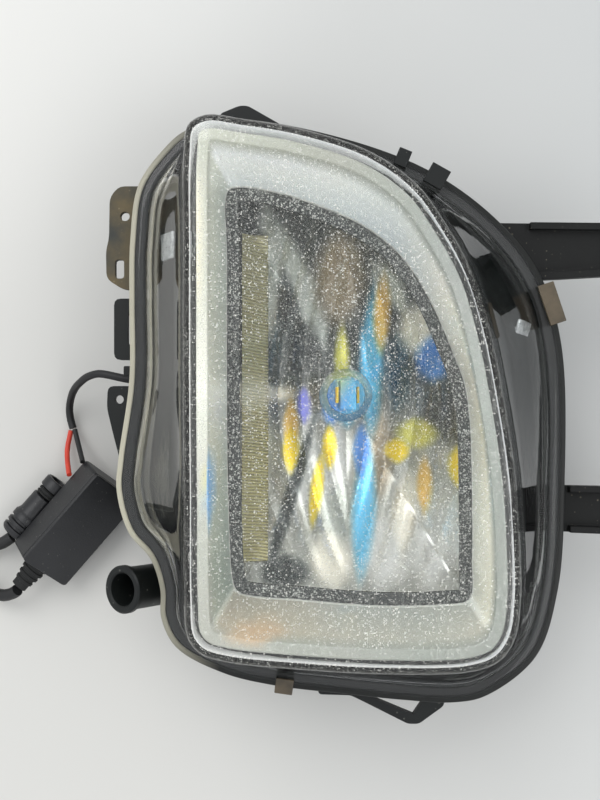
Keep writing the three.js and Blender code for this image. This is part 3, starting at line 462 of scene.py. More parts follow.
def makeRelief(setup):
    low = min(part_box("driver_case")[0][2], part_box("driver_lid")[0][2])
    high = max(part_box("driver_case")[1][2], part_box("driver_lid")[1][2])
    bm = spun([(-x, radius) for x, radius in setup["rings"]])
    bmesh.ops.transform(bm, matrix=Matrix.Translation((setup["start"], 0, setup["drop"])), verts=bm.verts[:])
    laidAt(bm, (*setup["at"], (low + high) / 2 / mm), setup["turn"], Matrix.Rotation(radians(setup["roll"]), 4, "X"))
    return keep(bm, "supply_relief_piece", "lamp", ["sealRubber"], ["supply_relief"], 40)


supplyRelief = makeRelief(reliefSetup)
print("leads and driver ready")


# outlines of the lamp, given points of closed smooth curves, millimetres from its axis
outlinePoints = {
    "face": [(-48, 0), (-48, 40), (-47.8, 68), (-46.5, 76.5), (-41.5, 79.35), (-31, 78.2), (-14.7, 75.4), (5, 69),
             (18.6, 59.5), (26.7, 48.5), (34.3, 34.5), (39.3, 18.4), (43.3, -1.5), (46.6, -24), (47.9, -45),
             (48, -58), (46.4, -69), (42, -75.5), (34, -78.6), (10, -79.35), (-15, -78), (-36, -75.8),
             (-43, -73.5), (-46.6, -69), (-47.6, -58), (-47.8, -30)],
    "flange": [(-51, 82.6), (-57.2, 77.3), (-65.4, 65.6), (-67.9, 48.5), (-68.2, 29.8), (-68.2, 4.8), (-71.6, -20),
               (-72.2, -29.7), (-68.5, -42.9), (-61.6, -51.3), (-58.5, -61), (-58.2, -69.8), (-53.5, -79),
               (-38.9, -87), (-22.5, -91), (-1.3, -93.5), (16.6, -95.4), (33.8, -96.25), (43.5, -94.2),
               (59.1, -82), (66, -61.3), (68.2, -28.2), (67.2, 15.7), (60.7, 37.3), (47.4, 54.5), (25, 70.7),
               (-8.4, 82.3), (-38.2, 86.35)],
    "opening": [(-36.6, 0), (-36.6, 40), (-36.4, 60.5), (-34, 61.75), (-21.2, 60), (-7.9, 55.7), (4.2, 50.2),
                (13.1, 43.7), (19.3, 36.3), (25.2, 26), (29.9, 15.3), (34.4, 3.2), (36.1, -9), (36.7, -31),
                (36.7, -49), (35.8, -61), (26.7, -62.5), (8.2, -62.75), (-14.7, -61), (-32.7, -59),
                (-34.4, -57), (-36.2, -31)],
}
rayCount = 360


def smoothOutline(points, perSpan=20):
    p = np.array(points, float)
    laid = []
    for i in range(len(p)):
        a, b, c, d = p[i - 1], p[i], p[(i + 1) % len(p)], p[(i + 2) % len(p)]
        ab, bc, cd = (np.sqrt(np.linalg.norm(v)) for v in (b - a, c - b, d - c))
        leave = ((b - a) / ab - (c - a) / (ab + bc) + (c - b) / bc) * bc
        reach = ((c - b) / bc - (d - b) / (bc + cd) + (d - c) / cd) * bc
        t = np.linspace(0, 1, perSpan, endpoint=False)[:, None]
        laid.append(b + leave * t + (3 * (c - b) - 2 * leave - reach) * t ** 2 + (2 * (b - c) + leave + reach) * t ** 3)
    return np.concatenate(laid)


def depthIn(outline, points):  # how far inside an outline the points are
    a, b = outline, np.roll(outline, -1, axis=0)
    span = b - a
    offset = points[:, None, :] - a[None]
    share = np.clip((offset * span).sum(-1) / (span ** 2).sum(-1), 0, 1)
    away = np.linalg.norm(offset - share[..., None] * span, axis=-1).min(1)
    crossing = (a[:, 1] > points[:, None, 1]) != (b[:, 1] > points[:, None, 1])
    edgeX = a[:, 0] + (points[:, None, 1] - a[:, 1]) * span[:, 0] / np.where(span[:, 1] == 0, 1e-9, span[:, 1])
    inside = (crossing & (points[:, None, 0] < edgeX)).sum(1) % 2 == 1
    return np.where(inside, away, -away)


outlines = {name: smoothOutline(points) for name, points in outlinePoints.items()}
spread = np.linspace(0, 1, rayCount, endpoint=False)
aroundFace = np.append(outlines["face"], outlines["face"][:1], axis=0)
along = np.append(0, np.cumsum(np.linalg.norm(np.diff(aroundFace, axis=0), axis=1)))
rays = np.stack([np.interp(spread * along[-1], along, aroundFace[:, k]) for k in (0, 1)], axis=1)
rays /= np.linalg.norm(rays, axis=1)[:, None]
radii = np.linspace(4, 106, 150)
depths = {name: np.stack([depthIn(outline, ray * radii[:, None]) for ray in rays]) for name, outline in outlines.items()}


def reachOn(name, inset):
    found = np.empty(rayCount)
    for i, depth in enumerate(depths[name]):
        start = int(np.argmax(depth))
        found[i] = np.interp(-inset, -depth[start:], radii[start:])
    return found


def ring(name, inset, z):
    return np.column_stack([rays * reachOn(name, inset)[:, None], np.full(rayCount, float(z))])


def mixed(first, second, share):
    return first + (second - first) * share


def curl(first, corner, second, steps=4):  # rings rounding a corner
    return [mixed(mixed(first, corner, t), mixed(corner, second, t), t) for t in np.linspace(0, 1, steps + 1)]


def toFrame(points):
    return np.asarray(points) * mm + np.array([lampAxis.x, lampAxis.y, 0])


def skin(rings, ends=False, marks=None):  # extrudes the first ring through the others, closed round or capped
    bm = bmesh.new()
    line = bmesh.ops.create_circle(bm, cap_ends=False, segments=len(rings[0]), radius=1)["verts"]
    for vert, where in zip(line, toFrame(rings[0])):
        vert.co = where
    firstEdges = bm.edges[:]
    edges = firstEdges
    for number, points in enumerate(rings[1:] + ([] if ends else rings[:1])):
        done = len(bm.faces)
        made = bmesh.ops.extrude_edge_only(bm, edges=edges)["geom"]
        fresh = {part for part in made if isinstance(part, bmesh.types.BMVert)}
        edges = [part for part in made if isinstance(part, bmesh.types.BMEdge)]
        line = [next(other for edge in vert.link_edges if (other := edge.other_vert(vert)) in fresh) for vert in line]
        for vert, where in zip(line, toFrame(points)):
            vert.co = where
        bm.faces.ensure_lookup_table()
        for face in bm.faces[done:]:
            face.material_index = marks[number] if marks else 0
    if ends:
        for loop in (firstEdges, edges):
            made = bmesh.ops.contextual_create(bm, geom=loop)["faces"]
            bmesh.ops.poke(bm, faces=made)
    else:
        bmesh.ops.remove_doubles(bm, verts=bm.verts[:], dist=0.0000005)
    return bm


print("outlines ready")

lensSetup = {"wall": 2.4, "round": 4.2, "rise": 4.9, "shoulder": 87.0, "top": 92.0, "flangeTop": 50, "flangeLow": 47,
             "foot": 5.0, "inner": 7.4, "fillet": 2.2, "highlightBand": 1.5}


def makeLens(setup):
    shoulder, top = setup["shoulder"], setup["top"]
    outer = [ring("face", 24, top), ring("face", 12, top)]
    for angle in np.linspace(90, 0, 9):
        turn = radians(angle)
        outer.append(ring("face", setup["round"] * (1 - cos(turn)), shoulder + setup["rise"] * sin(turn)))
    foot = ring("flange", setup["foot"], setup["flangeTop"])
    wall = [mixed(outer[-1], foot, t) for t in (0.25, 0.5, 0.75)]
    above = mixed(foot, outer[-1], setup["fillet"] / (shoulder - setup["flangeTop"]))
    highlightBand = ring("flange", setup["highlightBand"], setup["flangeTop"])
    fillet = curl(above, foot, ring("flange", setup["foot"] - setup["fillet"], setup["flangeTop"]))
    edge = curl(ring("flange", 0.6, setup["flangeTop"]), ring("flange", 0, setup["flangeTop"]),
                ring("flange", 0, setup["flangeTop"] - 0.8), 3)
    edgeLow = curl(ring("flange", 0, setup["flangeLow"] + 0.8), ring("flange", 0, setup["flangeLow"]),
                   ring("flange", 0.6, setup["flangeLow"]), 3)
    under = [ring("flange", setup["highlightBand"], setup["flangeLow"]), ring("flange", setup["inner"], setup["flangeLow"])]
    innerTop = ring("face", setup["wall"], shoulder)
    inner = [mixed(under[-1], innerTop, t) for t in (0.33, 0.66)]
    for angle in np.linspace(0, 90, 6):
        turn = radians(angle)
        inner.append(ring("face", setup["wall"] + 2.6 * (1 - cos(turn)), shoulder + 1.75 * sin(turn)))
    inner += [ring("face", 24, shoulder + 1.8)]
    rings = outer + wall + fillet + [highlightBand] + edge + edgeLow + under + inner
    # the flange's edge band takes the material with the painted highlight and painted dark reflection
    first = len(outer + wall + fillet)
    last = first + len([highlightBand] + edge + edgeLow) - 1
    marks = [1 if first <= i <= last else 0 for i in range(len(rings) - 1)]
    return keep(skin(rings, True, marks), "lens_piece", "lamp", ["clearLens", "bandHighlightAndShade"], ["lens"], 50)


def makeLensWear(setup):
    shoulder, top = setup["shoulder"], setup["top"]
    layers = []
    for lift in (0.09, 0.03):
        rings = [ring("face", 24, top + lift), ring("face", 12, top + lift)]
        for angle in (90, 78, 66, 54, 42, 30, 18, 6):
            turn = radians(angle)
            rings.append(ring("face", setup["round"] * (1 - cos(turn)) - lift, shoulder + (setup["rise"] + lift) * sin(turn)))
        layers.append(rings)
    bm = skin(layers[0] + layers[1][::-1], True)
    made = keep(bm, "lens_wear", "lamp", ["lensWear"], (), 50)
    where = (np.array([v.co[:] for v in made.data.vertices]) - np.array([lampAxis.x, lampAxis.y, 0])) / mm
    depth = np.concatenate([depthIn(outlines["face"], part) for part in np.array_split(where[:, :2], 20)])
    wear = np.interp(depth, (0, 1.2, 3, 5), (0.5, 0.9, 1.1, 1.0))
    made.visible_shadow = False
    layer = made.data.attributes.new("wear", "FLOAT", "POINT")
    layer.data.foreach_set("value", wear.astype(np.float32))
    return made


makeLens(lensSetup)
makeLensWear(lensSetup)
print("lens ready")


# tones painted on a piece as an attribute; they carry painted light, shade and reflections
def vertexPlaces(made):
    places = np.empty(len(made.data.vertices) * 3, np.float32)
    made.data.vertices.foreach_get("co", places)
    return (places.reshape(-1, 3) - np.array([lampAxis.x, lampAxis.y, 0])) / mm


def paintTone(made, colours):
    layer = made.data.color_attributes.new("tone", "FLOAT_COLOR", "POINT")
    layer.data.foreach_set("color", np.column_stack([linear(colours), np.ones(len(colours))]).astype(np.float32).ravel())


def toneRound(where, tones):  # by the angle from the lamp's axis
    angle = np.degrees(np.arctan2(where[:, 1], where[:, 0])) % 360
    stops = [stop for stop, _ in tones]
    return np.column_stack([np.interp(angle, stops, [tone[k] for _, tone in tones]) for k in range(3)])


def softPatch(where, centre, size, turn):
    x, y = where[:, 0] - centre[0], where[:, 1] - centre[1]
    c, s = cos(radians(turn)), sin(radians(turn))
    reach = np.abs((x * c + y * s) / size[0]) ** 1.5 + np.abs((y * c - x * s) / size[1]) ** 1.8  # narrow at both ends
    t = np.clip((1.45 - reach) / 1.2, 0, 1)
    return t * t * (3 - 2 * t)


def addPaintedReflections(colours, where, paintedReflections):  # painted reflections and highlights: soft patches of tone over the ones below
    for centre, size, turn, colour in paintedReflections:
        cover = softPatch(where, centre, size, turn)[:, None]
        colours = colours * (1 - cover) + np.array(colour, float) * cover
    return colours


# tones round the silver frame, by the angle from the lamp's axis, anticlockwise from the right: the frame's silver with
# painted light and shade, sides lighter or darker as the light falls and sharp steps as painted mitre lines; the lip's
# tones the same, with painted reflections and highlights over them
bezelSetup = {"inset": 3.6, "lip": 3.4, "front": 86, "openingZ": 70, "thick": 1.8,
              "atOpening": (0.92, 0.94, 0.96), "atLip": (1.08, 1.07, 1.05), "edge": (252, 252, 246), "openingHighlightShare": 0.85,
              "tones": [(0, (244, 236, 218)), (25, (250, 243, 228)), (50, (246, 243, 234)), (75, (232, 235, 236)),
                        (95, (244, 246, 244)), (108, (253, 253, 250)), (119.8, (255, 255, 252)), (120.6, (214, 216, 204)),
                        (150, (204, 207, 193)), (170, (216, 216, 202)), (178, (252, 250, 238)), (190, (222, 222, 210)),
                        (215, (182, 190, 176)), (238.6, (158, 166, 154)), (239.2, (222, 220, 206)), (240, (172, 162, 144)),
                        (255, (178, 170, 154)), (270, (176, 174, 164)), (290, (172, 172, 163)), (299.6, (184, 182, 170)),
                        (300.4, (250, 248, 238)), (301.6, (234, 230, 213)), (330, (236, 231, 214)), (360, (244, 236, 218))],
              "lipTones": [(0, (158, 162, 155)), (60, (150, 154, 148)), (100, (164, 164, 152)), (120, (188, 188, 174)),
                           (178, (240, 239, 226)), (200, (210, 211, 198)), (240, (170, 170, 160)), (300, (146, 150, 142)),
                           (360, (158, 162, 155))],
              # painted reflections and highlights: a blue and a yellow streak, a pale streak and a warm patch
              "paintedReflections": [((-40.4, -27), (0.9, 13), 0, (110, 170, 225)), ((-41.9, -25), (0.6, 9), 0, (240, 225, 130)),
                          ((-43.8, 44), (1.2, 20), 0, (236, 228, 204)), ((-27, -68), (9, 3), 4, (200, 172, 140))]}


def makeBezel(setup):
    inset, lip, front = setup["inset"], setup["lip"], setup["front"]
    low, under = setup["openingZ"], setup["thick"]
    slopeTop, slopeLow = ring("face", inset + lip, front), ring("opening", 0, low)
    rings = [ring("face", inset + 0.5, front),
             *curl(ring("face", inset + lip - 0.5, front), slopeTop, mixed(slopeTop, slopeLow, 0.03), 3),
             *[mixed(slopeTop, slopeLow, t) for t in (0.25, 0.5, 0.75)],
             *curl(mixed(slopeTop, slopeLow, 0.97), slopeLow, ring("opening", 0, low - 0.6), 3),
             ring("opening", 0, low - under), ring("face", inset + lip - 0.4, front - under),
             ring("face", inset, front - under), ring("face", inset, front - 0.5)]
    made = keep(skin(rings), "bezel_piece", "lamp", ["silverTrim"], ["bezel"], 30)
    where = vertexPlaces(made)
    # tones with painted light and shade by side
    slope, flat = toneRound(where, setup["tones"]), toneRound(where, setup["lipTones"])
    share = np.clip((where[:, 2] - (front - 1.2)) / 0.8, 0, 1)[:, None]
    colours = slope * (1 - share) + flat * share
    rise = np.clip((where[:, 2] - low) / (front - low), 0, 1)[:, None]
    openingShade = mixed(np.array(setup["atOpening"]), np.array(setup["atLip"]), rise)  # painted shade: cooler and darker towards the opening, lighter towards the lip
    colours = np.clip(colours * np.where(share > 0, 1, openingShade), 0, 255)
    # painted highlight: a bright line along the opening's edge
    edge = np.clip((low + 0.5 - where[:, 2]) / 0.4, 0, 1)[:, None] * setup["openingHighlightShare"]
    colours = mixed(colours, np.array(setup["edge"], float), edge)
    # painted reflections and highlights over the tones
    paintTone(made, addPaintedReflections(colours, where, setup["paintedReflections"]))
    return made


apertureSetup = {"inner": 3.8, "outer": -1.2, "top": 67.9, "low": 66.5, "corner": 0.5}
shroudSetup = {"lowInset": 9.2, "low": 45.3, "topInset": 4.4, "top": 83.0, "thick": 1.5, "rows": 9}
sealSetup = {"near": 1.6, "far": 5.6, "low": 45.3, "top": 46.7, "corner": 0.3}


def makeAperture(setup):
    inner, outer, top, low, corner = (setup[key] for key in ("inner", "outer", "top", "low", "corner"))
    rings = [ring("opening", outer, top), *curl(ring("opening", inner - corner, top), ring("opening", inner, top),
             ring("opening", inner, top - corner), 2), ring("opening", inner, low), ring("opening", outer, low)]
    return keep(skin(rings), "aperture_frame_piece", "lamp", ["speckledBlack"], ["aperture_frame"], 40)


def makeShroud(setup):
    rings = []
    for depth in (0, setup["thick"]):
        low = ring("flange", setup["lowInset"] + depth, setup["low"])
        top = ring("face", setup["topInset"] + depth, setup["top"])
        wall = [mixed(low, top, t) for t in np.linspace(0, 1, setup["rows"])]
        rings += wall[::-1] if depth else wall
    return keep(skin(rings), "inner_shroud_piece", "lamp", ["shroudBlack"], ["inner_shroud"], 40)


def makeSeal(setup):
    near, far, low, top, corner = (setup[key] for key in ("near", "far", "low", "top", "corner"))
    section = [(near + corner, top), (far - corner, top), (far, top - corner), (far, low + corner),
               (far - corner, low), (near + corner, low), (near, low + corner), (near, top - corner)]
    rings = [ring("flange", inset, z) for inset, z in section]
    return keep(skin(rings), "lens_seal_piece", "lamp", ["sealRubber"], ["lens_seal"], 40)


makeBezel(bezelSetup)
makeAperture(apertureSetup)
makeShroud(shroudSetup)
makeSeal(sealSetup)
print("front trim ready")

# the reflector's bowl, from its mouth, share 0, to its neck, share 1
bowlSetup = {"mouthInset": 3.0, "mouthZ": 63, "neck": 8.5, "neckZ": 39.1, "thick": 1.8, "shares": 56,
             "fluteWidth": 7.2, "fluteDepth": 1.1, "bend": 0.0042, "lowerTone": (158, 158, 150), "upperTone": (62, 66, 64),
             "bulbReflection": (70, 130, 165)}
# colours of the painted reflections on the mirror coat
glints = {"dark": (46, 52, 50), "teal": (42, 76, 92), "grey": (172, 176, 168), "tan": (158, 143, 120),
          "silver": (206, 206, 202), "cream": (238, 232, 216), "cyan": (96, 194, 238), "blue": (72, 140, 224),
          "violet": (132, 136, 228), "yellow": (252, 216, 24), "olive": (206, 200, 92), "amber": (240, 192, 96)}
# painted reflections, soft patches of tone on the mirror coat: centre, half sizes, turn in degrees, tone
bowlPatches = [
    ((-24.4, 37), (4.4, 21), 0, "grey"), ((-14.6, 35), (4.6, 21), 24, "grey"), ((-18.4, 26), (3.4, 13), 6, "dark"),
    ((-2.4, 36), (8.4, 15), 0, "tan"), ((13, 33), (4, 10), 35, "grey"), ((31, -5), (8, 11), 0, "dark"),
    ((16, 8), (4.4, 12), 0, "teal"), ((-33, 0.4), (19, 3.8), 0, "cream"), ((-14, -22), (4.6, 17), -8, "silver"),
    ((-4, -24), (5, 16), -6, "silver"), ((-18, -33), (2.4, 27), -17, "dark"), ((-19, -54), (8, 5), 0, "dark"),
    ((-2.4, -38), (7, 11), -10, "grey"), ((12.6, -48), (8, 12), -16, "silver"), ((28.5, -43), (8, 17), -12, "silver"),
    ((10.4, -18), (5, 14), 0, "tan"), ((5.4, -36), (3.8, 20), -5, "cyan"), ((8, 10), (4, 23), 0, "cyan"),
    ((0.4, -1), (5, 9), 0, "cyan"), ((-4.8, -3), (3, 7), 0, "blue"), ((5, -18), (2.8, 9), 0, "blue"),
    ((-13.4, -3.2), (2.4, 6), 0, "violet"), ((22.4, 20.5), (7, 9), 0, "cream"), ((26.5, 11), (5.6, 7.4), 0, "blue"),
    ((10.9, 25), (2.8, 12), 0, "amber"), ((-1.3, 11.6), (2.6, 11), 0, "olive"), ((-17.5, -9.4), (2.6, 8), 0, "amber"),
    ((-17.6, -17.4), (2.7, 7.4), 0, "yellow"), ((-5.3, -16.5), (2.4, 7), 0, "yellow"), ((-9.4, -30), (2.1, 11), -8, "yellow"),
    ((-5.3, -51), (6.6, 9), 12, "cream"), ((18.4, -36), (4, 13), -8, "cream"), ((21.9, -12), (6.4, 5), 0, "olive"),
    ((16.1, -17.6), (3.8, 4), 0, "yellow"), ((24.2, -28), (2.4, 9), 0, "amber"), ((33.6, -21.5), (3, 6.4), 0, "yellow"),
]
bowlReflections = [(centre, size, turn, glints[tone]) for centre, size, turn, tone in bowlPatches]
mouth = reachOn("opening", bowlSetup["mouthInset"])


def bowlRing(share, shift=0.0, drop=0.0):
    setup = bowlSetup
    reach = mouth * (1 - share) + setup["neck"] * share + shift
    z = setup["neckZ"] + (setup["mouthZ"] - setup["neckZ"]) * (1 - share) ** 2
    return np.column_stack([rays * reach[:, None], np.full(rayCount, z - drop)])


def makeReflector(setup):
    shares = np.linspace(0, 1, setup["shares"])
    rings = []
    for share in shares:
        points = bowlRing(share)
        x = points[:, 0] + np.sign(points[:, 0]) * setup["bend"] * points[:, 1] ** 2
        scallop = np.abs(np.sin(pi * x / setup["fluteWidth"]))
        points[:, 2] += setup["fluteDepth"] * scallop * np.clip(6 * share * (1 - share), 0, 1)
        rings.append(points)
    under = [bowlRing(share, 0.7 if 0 < share < 1 else 0, setup["thick"]) for share in (1, 0.8, 0.6, 0.42, 0.26, 0.12)]
    under += [bowlRing(0, 1.3, setup["thick"] + 0.6), bowlRing(0, 1.3, 0)]
    made = keep(skin(rings + under), "reflector_piece", "reflector_unit", ["mirrorCoat"], ["reflector"], 14)
    where = vertexPlaces(made)
    x, y = where[:, 0], where[:, 1]
    # painted light and shade: lighter and darker stripes along the flutes
    drift = 10 * np.sin(x * 0.9 + 1.3 * np.sin(y * 0.11)) + 6 * np.sin(y * 0.23 + x * 0.4)
    # painted reflection: lighter below, darker above
    upper = np.clip((y + 14) / 24, 0, 1)[:, None]
    colours = mixed(np.array(setup["lowerTone"], float), np.array(setup["upperTone"], float), upper)
    paintTone(made, addPaintedReflections(np.clip(colours + drift[:, None], 0, 255), where, bowlReflections))
    return made


# the ribs' tone with painted shade in the grooves, a painted highlight band across the middle, greyer towards the top
stripSetup = {"across": (-32.4, -24.6), "steps": 8, "bottom": -50.8, "top": 49, "pitch": 0.95, "height": 0.4, "thick": 1.2,
              "gap": 0.2, "slant": 0.16, "tone": (196, 186, 132), "grooveShade": (128, 122, 86), "paintedHighlight": (224, 221, 207),
              "upperTone": (150, 150, 136)}


def bowlHeight(x, y):
    turn = np.arctan2(rays[:, 1], rays[:, 0])
    order = np.argsort(turn)
    rim = np.interp(atan2(y, x), turn[order], mouth[order], period=2 * pi)
    left = (np.hypot(x, y) - bowlSetup["neck"]) / (rim - bowlSetup["neck"])
    return bowlSetup["neckZ"] + (bowlSetup["mouthZ"] - bowlSetup["neckZ"]) * left ** 2


def makeStrip(setup):
    across = np.linspace(*setup["across"], setup["steps"])
    sections = []
    for row in np.arange(setup["bottom"], setup["top"], setup["pitch"] / 6):
        ribs = [np.array([x, row, bowlHeight(x, row) + setup["gap"]]) for x in across]
        wave = [0.5 + 0.5 * np.cos(2 * pi * (row + setup["slant"] * x) / setup["pitch"]) for x in across]
        thick = setup["thick"] * min(1, 0.45 + (row - setup["bottom"]) / 8)  # thin at its lower end, clear of the border
        over = [p + np.array([0, 0, thick + setup["height"] * (w - 1)]) for p, w in zip(ribs, wave)]
        sections.append(np.array(over + ribs[::-1]))
    bm = skin(sections, True)
    made = keep(bm, "ribbed_strip_piece", "reflector_unit", ["tanCoat"], ["ribbed_strip"], 60)
    where = vertexPlaces(made)
    wave = 0.5 + 0.5 * np.cos(2 * pi * (where[:, 1] + setup["slant"] * where[:, 0]) / setup["pitch"])
    # painted highlight: a pale band across the middle
    paintedHighlight = np.exp(-((where[:, 1] - 0.5) / 5) ** 2)[:, None]
    fade = np.clip((where[:, 1] + 20) / 60, 0, 1)[:, None]
    # painted shade: darker in the grooves between the ribs
    colours = mixed(np.array(setup["grooveShade"], float), np.array(setup["tone"], float), wave[:, None])
    # greyer towards the top
    colours = mixed(colours, np.array(setup["upperTone"], float), fade * 0.35)
    paintTone(made, mixed(colours, np.array(setup["paintedHighlight"], float), paintedHighlight * 0.7))
    return made


makeReflector(bowlSetup)
makeStrip(stripSetup)
for node in ("bulb_stem", "bulb_collar"):  # bright metal, coloured blue as a painted reflection, with the bowl's painted reflections over it
    made = finishedCopy(node, "reflector_unit", "mirrorCoat", 0.25)
    where = vertexPlaces(made)
    paintTone(made, addPaintedReflections(np.tile(np.array(bowlSetup["bulbReflection"], float), (len(where), 1)), where, bowlReflections))
print("reflector ready")

# pieces that keep the frame's shape, with rounded edges: node, body, finish, slot, rounding
roundedPieces = [
    ("bulb_carrier", "reflector_unit", "steelPlate", "steel", 0.25),
    ("heat_sink", "reflector_unit", "bareAluminium", "bare_aluminium", 0.2),
    ("led_chip_left", "reflector_unit", "ledYellow", "led_yellow", 0.15),
    ("led_chip_right", "reflector_unit", "ledYellow", "led_yellow", 0.15),
    ("adjuster_nut", "reflector_unit", "smokePlastic", "smoke_plastic", 0.2),
    ("bulb_lead", "reflector_unit", "cableBlack", "cable_black", 0),
    ("adjuster_screw", "adjuster", "steelPlate", "steel", 0.15),
    ("adjuster_bush", "lamp", "smokePlastic", "smoke_plastic", 0.15),
    ("fan_rotor", "fan", "caseBlack", "black_plastic", 0.12),
    ("rear_cap", "rear_cover", "housingBlack", "black_plastic", 0.35),
    ("cap_seal", "rear_cover", "sealRubber", "black_rubber", 0),
    ("pivot_stud_left", "lamp", "steelPlate", "steel", 0),
    ("pivot_stud_right", "lamp", "steelPlate", "steel", 0),
    ("cable_grommet", "lamp", "sealRubber", "black_rubber", 0.2),
    ("mount_ear_upper", "lamp", "wornPlastic", "worn_plastic", 0.5),
    ("clip_loop", "lamp", "housingBlack", "black_plastic", 0.5),
    ("cable_clip", "lamp", "housingBlack", "black_plastic", 0.4),
    ("mount_ear_lower", "lamp", "housingBlack", "black_plastic", 0.5),
    ("top_tab", "lamp", "housingBlack", "black_plastic", 0.5),
    ("bottom_hook", "lamp", "housingBlack", "black_plastic", 0.5),
    ("clip_top_left", "lamp", "housingBlack", "black_plastic", 0.25),
    ("clip_top_right", "lamp", "housingBlack", "black_plastic", 0.25),
    ("clip_right", "lamp", "smokePlastic", "smoke_plastic", 0.25),
    ("clip_bottom", "lamp", "smokePlastic", "smoke_plastic", 0.25),
    ("upper_arm", "lamp", "armPlastic", "arm_plastic", 0.45),
    ("lower_arm", "lamp", "armPlastic", "arm_plastic", 0.45),
]
for node, body, finish, slotName, width in roundedPieces:
    finishedCopy(node, body, finish, width)
print("rounded pieces ready")

# small bright pads on the skirt behind the lens's wall: middle, size along the slope and across it, lean, turn
padSetup = {"left": ((-53.4, 45, 62), (11, 8, 0.8), 68, 0), "right": ((53.6, 20.4, 51.5), (9, 4.4, 0.8), -58, -12)}


def makePad(name, setup):
    where, size, lean, turn = setup
    bm = bmesh.new()
    bmesh.ops.create_cube(bm, size=1, matrix=Matrix.Diagonal((*size, 1)))
    bmesh.ops.bevel(bm, geom=bm.edges[:], offset=0.25, segments=2, affect="EDGES", profile=0.5, material=-1)
    laidAt(bm, where, turn, Matrix.Rotation(radians(-lean), 4, "Y"))
    return keep(bm, f"foil_pad_{name}", "lamp", ["foilPad"])


for name, setup in padSetup.items():
    makePad(name, setup)

housingSetup = {"rimTop": 45.0, "rimLow": 42.5, "edge": 0.6, "lip": 11.6, "wall": 2.5, "back": 2.5,
                "taper": [(3, 0), (4, 0.18), (5, 0.32), (7.2, 0.53), (10, 0.72), (14.5, 0.86), (20, 0.95), (24, 1)],
                "bore": 24.4, "collar": 2.4, "collarTop": 9, "feet": [(-32, -50), (32, -50), (-32, 36), (26, 36)],
                "foot": (4.6, 5, 2.9), "screwHole": (6, 44, 4.6), "leadHole": (-62.6, 5, 26, 3.2)}


def circleRing(radius, z):
    return np.column_stack([rays * radius, np.full(rayCount, float(z))])


def cutAway(made, cutters):
    for cutter in cutters:
        modifier = made.modifiers.new("cut", "BOOLEAN")
        modifier.object, modifier.operation, modifier.solver = cutter, "DIFFERENCE", "EXACT"
    bpy.context.view_layer.update()
    finished = bpy.data.meshes.new_from_object(made.evaluated_get(bpy.context.evaluated_depsgraph_get()))
    made.modifiers.clear()
    made.data = finished
    for cutter in cutters:
        bpy.data.objects.remove(cutter)
    return made


def cutterRod(radius, length, matrix):
    bm = bmesh.new()
    bmesh.ops.create_cone(bm, cap_ends=True, segments=40, radius1=radius * mm, radius2=radius * mm, depth=length * mm,
                          matrix=matrix)
    mesh = bpy.data.meshes.new("cutter")
    bm.to_mesh(mesh)
    bm.free()
    made = bpy.data.objects.new("cutter", mesh)
    bpy.context.scene.collection.objects.link(made)
    return made


def makeHousing(setup):
    back, wall, low = setup["back"], setup["wall"], setup["rimLow"]
    outer = [ring("flange", inset, low + (back - low) * share) for inset, share in setup["taper"]]
    inner = [ring("flange", inset + wall, low - 3 + (back + wall - low + 3) * share) for inset, share in setup["taper"][:-1]]
    rim = curl(ring("flange", setup["edge"] + 0.5, setup["rimTop"]), ring("flange", setup["edge"], setup["rimTop"]),
               ring("flange", setup["edge"], setup["rimTop"] - 0.5), 2)
    bore, collar = setup["bore"], setup["collar"]
    floor = [circleRing(bore + collar + 3, back), circleRing(bore, back), circleRing(bore, setup["collarTop"]),
             circleRing(bore + collar, setup["collarTop"]), circleRing(bore + collar, back + wall)]
    lip = [ring("flange", setup["lip"] - 3, low - 3), ring("flange", setup["lip"], low),
           ring("flange", setup["lip"], setup["rimTop"])]
    rings = rim + [ring("flange", setup["edge"], low)] + outer + floor + inner[::-1][:-1] + lip
    made = keep(skin(rings), "housing_piece", "lamp", ["housingBlack"], ["housing"], 35)
    x, y, radius = setup["screwHole"]
    a, b, c, hole = setup["leadHole"]
    return cutAway(made, [cutterRod(radius, 30, Matrix.Translation(place(x, y, 5))),
                          cutterRod(hole, 14, Matrix.Translation(place(a, b, c)) @ Matrix.Rotation(pi / 2, 4, "Y"))])


def makeFoot(number, x, y, size):
    low, high, depth = size
    bm = bmesh.new()
    bmesh.ops.create_cone(bm, cap_ends=True, segments=48, radius1=low * mm, radius2=high * mm, depth=depth * mm,
                          matrix=Matrix.Translation(place(x, y, depth / 2)))
    return keep(bm, f"foot_{number}", "lamp", ["housingBlack"], (), 30, [edgeRound(0.4)])


makeHousing(housingSetup)
for number, (x, y) in enumerate(housingSetup["feet"]):
    makeFoot(number + 1, x, y, housingSetup["foot"])
print("housing ready")

elbowSetup = {"mouth": (-70.8, -61.2, 48), "rise": 52, "outer": 6.8, "lip": 7.6, "lipLength": 2.4, "bore": 5.2,
              "deep": 14, "root": -46.5}


